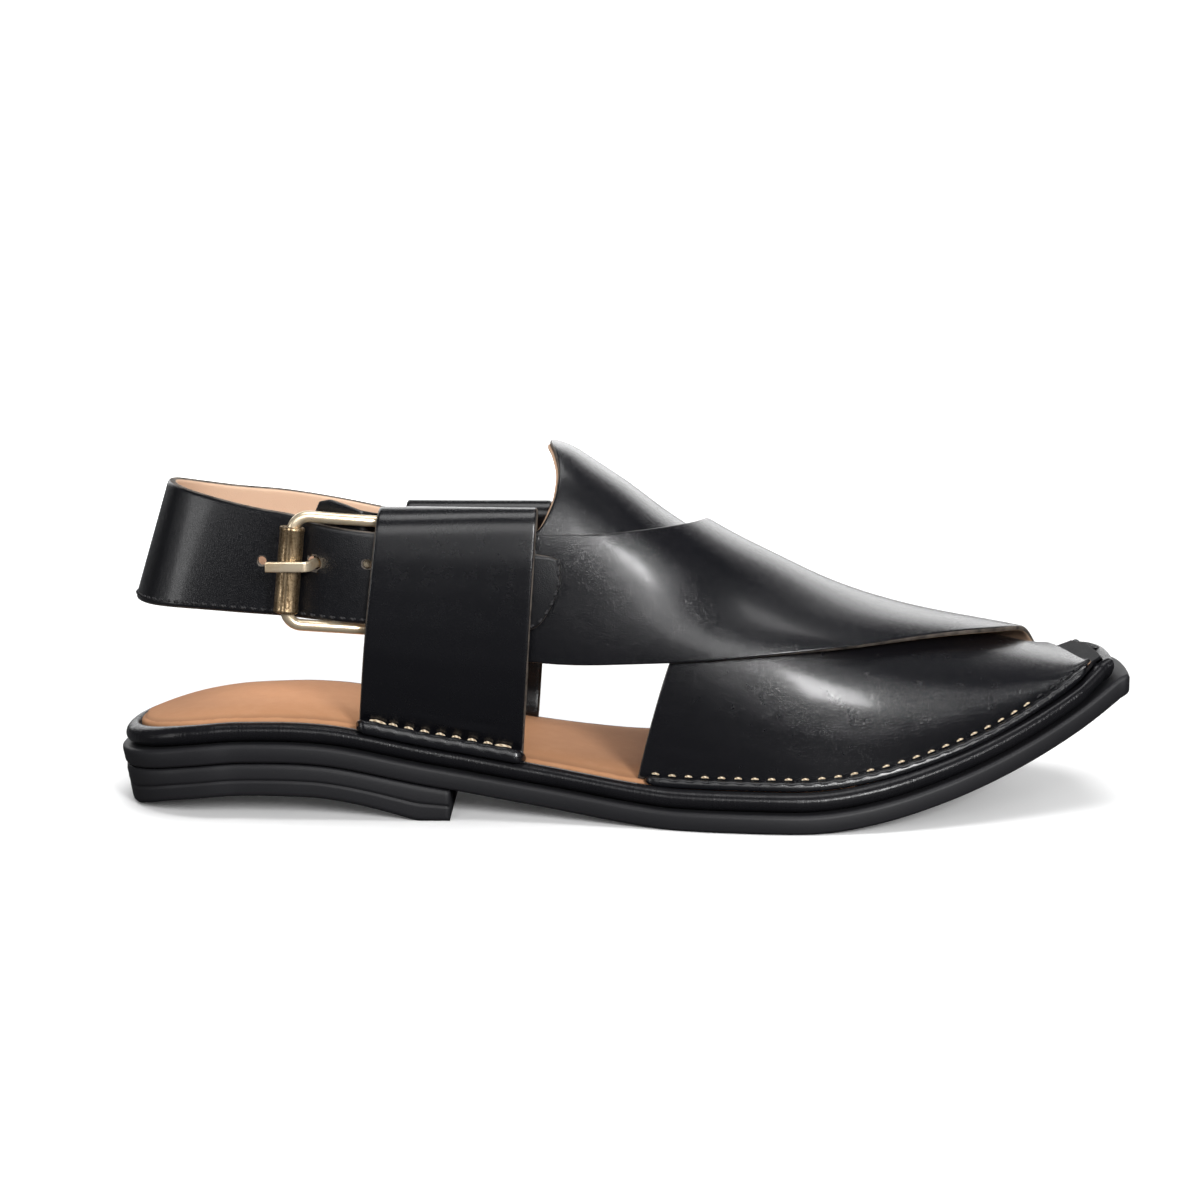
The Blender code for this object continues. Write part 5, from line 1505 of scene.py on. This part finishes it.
def make_stitches():
    """Pale stitches round the feet of the upper and the loops, black ones at the toe and on the strap."""
    upwards = np.array((0.0, 0.0, 1.0))

    def foot_row(name, xs, side, groove, *values, **more):
        line = foot_line(xs, side) + (0, side * groove[0], groove[1])
        stitches(name, line, np.broadcast_to(upwards, line.shape), *values, **more)

    for name, first, last, count, side, material in (
        ("stitches_vamp_lateral", 0.0075, 0.121, 160, LATERAL, THREAD_PALE),
        ("stitches_vamp_toe", 0.121, 0.137, 30, LATERAL, THREAD_BLACK),
        ("stitches_strap_medial", 0.026, 0.112, 160, MEDIAL, THREAD_PALE),
        ("stitches_strap_toe", 0.112, 0.131, 30, MEDIAL, THREAD_BLACK),
    ):
        xs = np.linspace(first, last, count)
        foot_row(name, xs, side, VAMP_GROOVE, 0.0047, 0.0024, 0.00042, material, "upper")
    for name, side in (("stitches_loop_lateral", LATERAL), ("stitches_loop_medial", MEDIAL)):
        front = float(at_share(LOOP_FRONT[side]))
        xs = np.linspace(front - LOOP_WIDTH, front, 60)[4:-4]
        foot_row(name, xs, side, LOOP_GROOVE, 0.0046, 0.0030, 0.00062, THREAD_PALE, "loops", long_ends=1.9)

    crest = layer([(RIM_CREST_INSET - 0.0004, FOOTBED_LOW + FOOTBED_THICK)])[0][1]
    crest = crest[crest[:, 0] > TOE_RIM_STITCHES_X]
    stitches("stitches_toe_rim", crest, np.broadcast_to(upwards, crest.shape), 0.0014, 0.0050, 0.00056,
             LEATHER_LOOP, "rim", lift=0.0001, over=0.0011)

    dense = strap_mid(rows=420, cols=41)
    low, high = 38, 2
    line, out = (
        np.concatenate([grid[:-3, low], grid[-14:-3, high][::-1]]) for grid in (dense, outward(dense))
    )
    stitches("stitches_strap_edge", line + out * STRAP_THICK / 2, out, 0.0030, 0.0023, 0.00046, THREAD_BLACK,
             "strap")


# Stage, light and camera


def make_stage():
    """A pale floor that runs far back and a white world, both seen so by the camera alone."""
    mesh = bpy.data.meshes.new("floor")
    mesh.from_pydata([(-3, -3, 0), (3, -3, 0), (3, 1.35, 0), (-3, 1.35, 0)], [], [(0, 1, 2, 3)])
    floor = bpy.data.objects.new("floor", mesh)
    bpy.context.scene.collection.objects.link(floor)
    n = Finish("floor_white", Roughness=0.6, Specular_IOR_Level=0.1, Emission_Color=(1, 1, 1, 1))
    seen = n.add("ShaderNodeLightPath")["Is Camera Ray"]
    pale = n.mix(n.noise(n.place(), 3.0, 2.0), (0.96, 0.96, 0.96, 1), (0.98, 0.98, 0.98, 1))
    away = n.tree.nodes.new("ShaderNodeVectorMath")
    away.operation = "LENGTH"
    glow = n.step(n.fill(away, {0: n.place()})["Value"], 0.24, 0.90, 0.03, 0.95)
    colour = n.mix(seen, (0.05, 0.05, 0.053, 1), pale)
    n.fill(n.shader, {"Base Color": colour, "Emission Strength": n.times(seen, glow)})
    mesh.materials.append(n.made)

    world = bpy.data.worlds.new("studio")
    bpy.context.scene.world = world
    world.use_nodes = True
    world.node_tree.nodes.clear()
    w = Nodes(world.node_tree)
    seen = w.add("ShaderNodeLightPath")["Is Camera Ray"]
    white = w.add("ShaderNodeBackground", Color=(1, 1, 1, 1), Strength=1.15)[0]
    felt = w.add("ShaderNodeBackground", Color=(0.93, 0.96, 1, 1), Strength=0.05)[0]
    both = w.fill(world.node_tree.nodes.new("ShaderNodeMixShader"), {0: seen, 1: felt, 2: white})[0]
    w.add("ShaderNodeOutputWorld", Surface=both)


def make_lights():
    """Soft lights above, behind and at the sides, and two fills that give no highlights."""
    for name, place, aim, size, power, mirrored in (
        # name, place, aim, size, power, seen in reflections
        ("key_front_right", (0.48, -1.02, 0.50), (0.02, 0.0, 0.06), (0.26, 0.32), 11.5, True),
        ("front_broad", (-0.10, -1.10, 0.62), (-0.03, 0.0, 0.06), (0.95, 0.45), 3.8, True),
        ("top_softbox", (0.05, -0.05, 1.10), (0.02, 0.0, 0.0), (0.80, 0.50), 4.4, True),
        ("back_wall", (0.0, 1.55, 0.62), (0.0, 0.0, 0.10), (2.8, 1.0), 17.0, True),
        ("left_strip", (-1.02, -0.42, 0.26), (-0.12, 0.0, 0.07), (0.22, 0.50), 1.6, True),
        ("right_strip", (1.15, -0.30, 0.50), (0.10, 0.0, 0.03), (0.25, 0.60), 0.6, True),
        ("top_fill", (0.0, 0.0, 1.20), (0.0, 0.0, 0.0), (1.2, 1.0), 7.8, False),
        ("front_fill", (-0.25, -1.15, 0.75), (0.0, 0.0, 0.05), (1.0, 0.8), 3.2, False),
    ):
        light = bpy.data.lights.new(name, "AREA")
        light.shape = "RECTANGLE"
        light.size, light.size_y = size
        light.energy = power
        lamp = bpy.data.objects.new(name, light)
        bpy.context.scene.collection.objects.link(lamp)
        x, y, z = np.array(aim) - place
        tilt = math.acos(-z / math.hypot(x, y, z))
        lamp.location = place
        lamp.rotation_euler = (tilt, 0.0, math.atan2(y, x) - math.pi / 2)
        lamp.visible_camera = False
        lamp.visible_glossy = mirrored


CAMERA_PLACE = (-0.0062, -0.600, 0.165)
CAMERA_PITCH_DEG = 9.97
CAMERA_LENS = 60.3


def make_camera():
    """A camera at the photograph's place: low, close, and level with the shoe's side."""
    lens = bpy.data.cameras.new("camera")
    lens.lens, lens.sensor_width, lens.clip_start = CAMERA_LENS, 36.0, 0.01
    camera = bpy.data.objects.new("camera", lens)
    bpy.context.scene.collection.objects.link(camera)
    camera.location = CAMERA_PLACE
    camera.rotation_euler = (math.radians(90 - CAMERA_PITCH_DEG), 0, 0)
    bpy.context.scene.camera = camera
    bpy.context.scene.view_settings.view_transform = "Standard"


make_camera()
make_stage()
make_lights()
make_outsole()
make_heel_block()
make_footbed()
make_toe_cover()
make_vamp()
make_tongue()
make_strap_over()
make_loop("loop_lateral", LATERAL, "lateral_loop")
make_loop("loop_medial", MEDIAL, "medial_loop")
make_heel_strap()
make_buckle_frame()
make_roller()
make_prong()
make_flap()
make_foot_strips()
make_stitches()
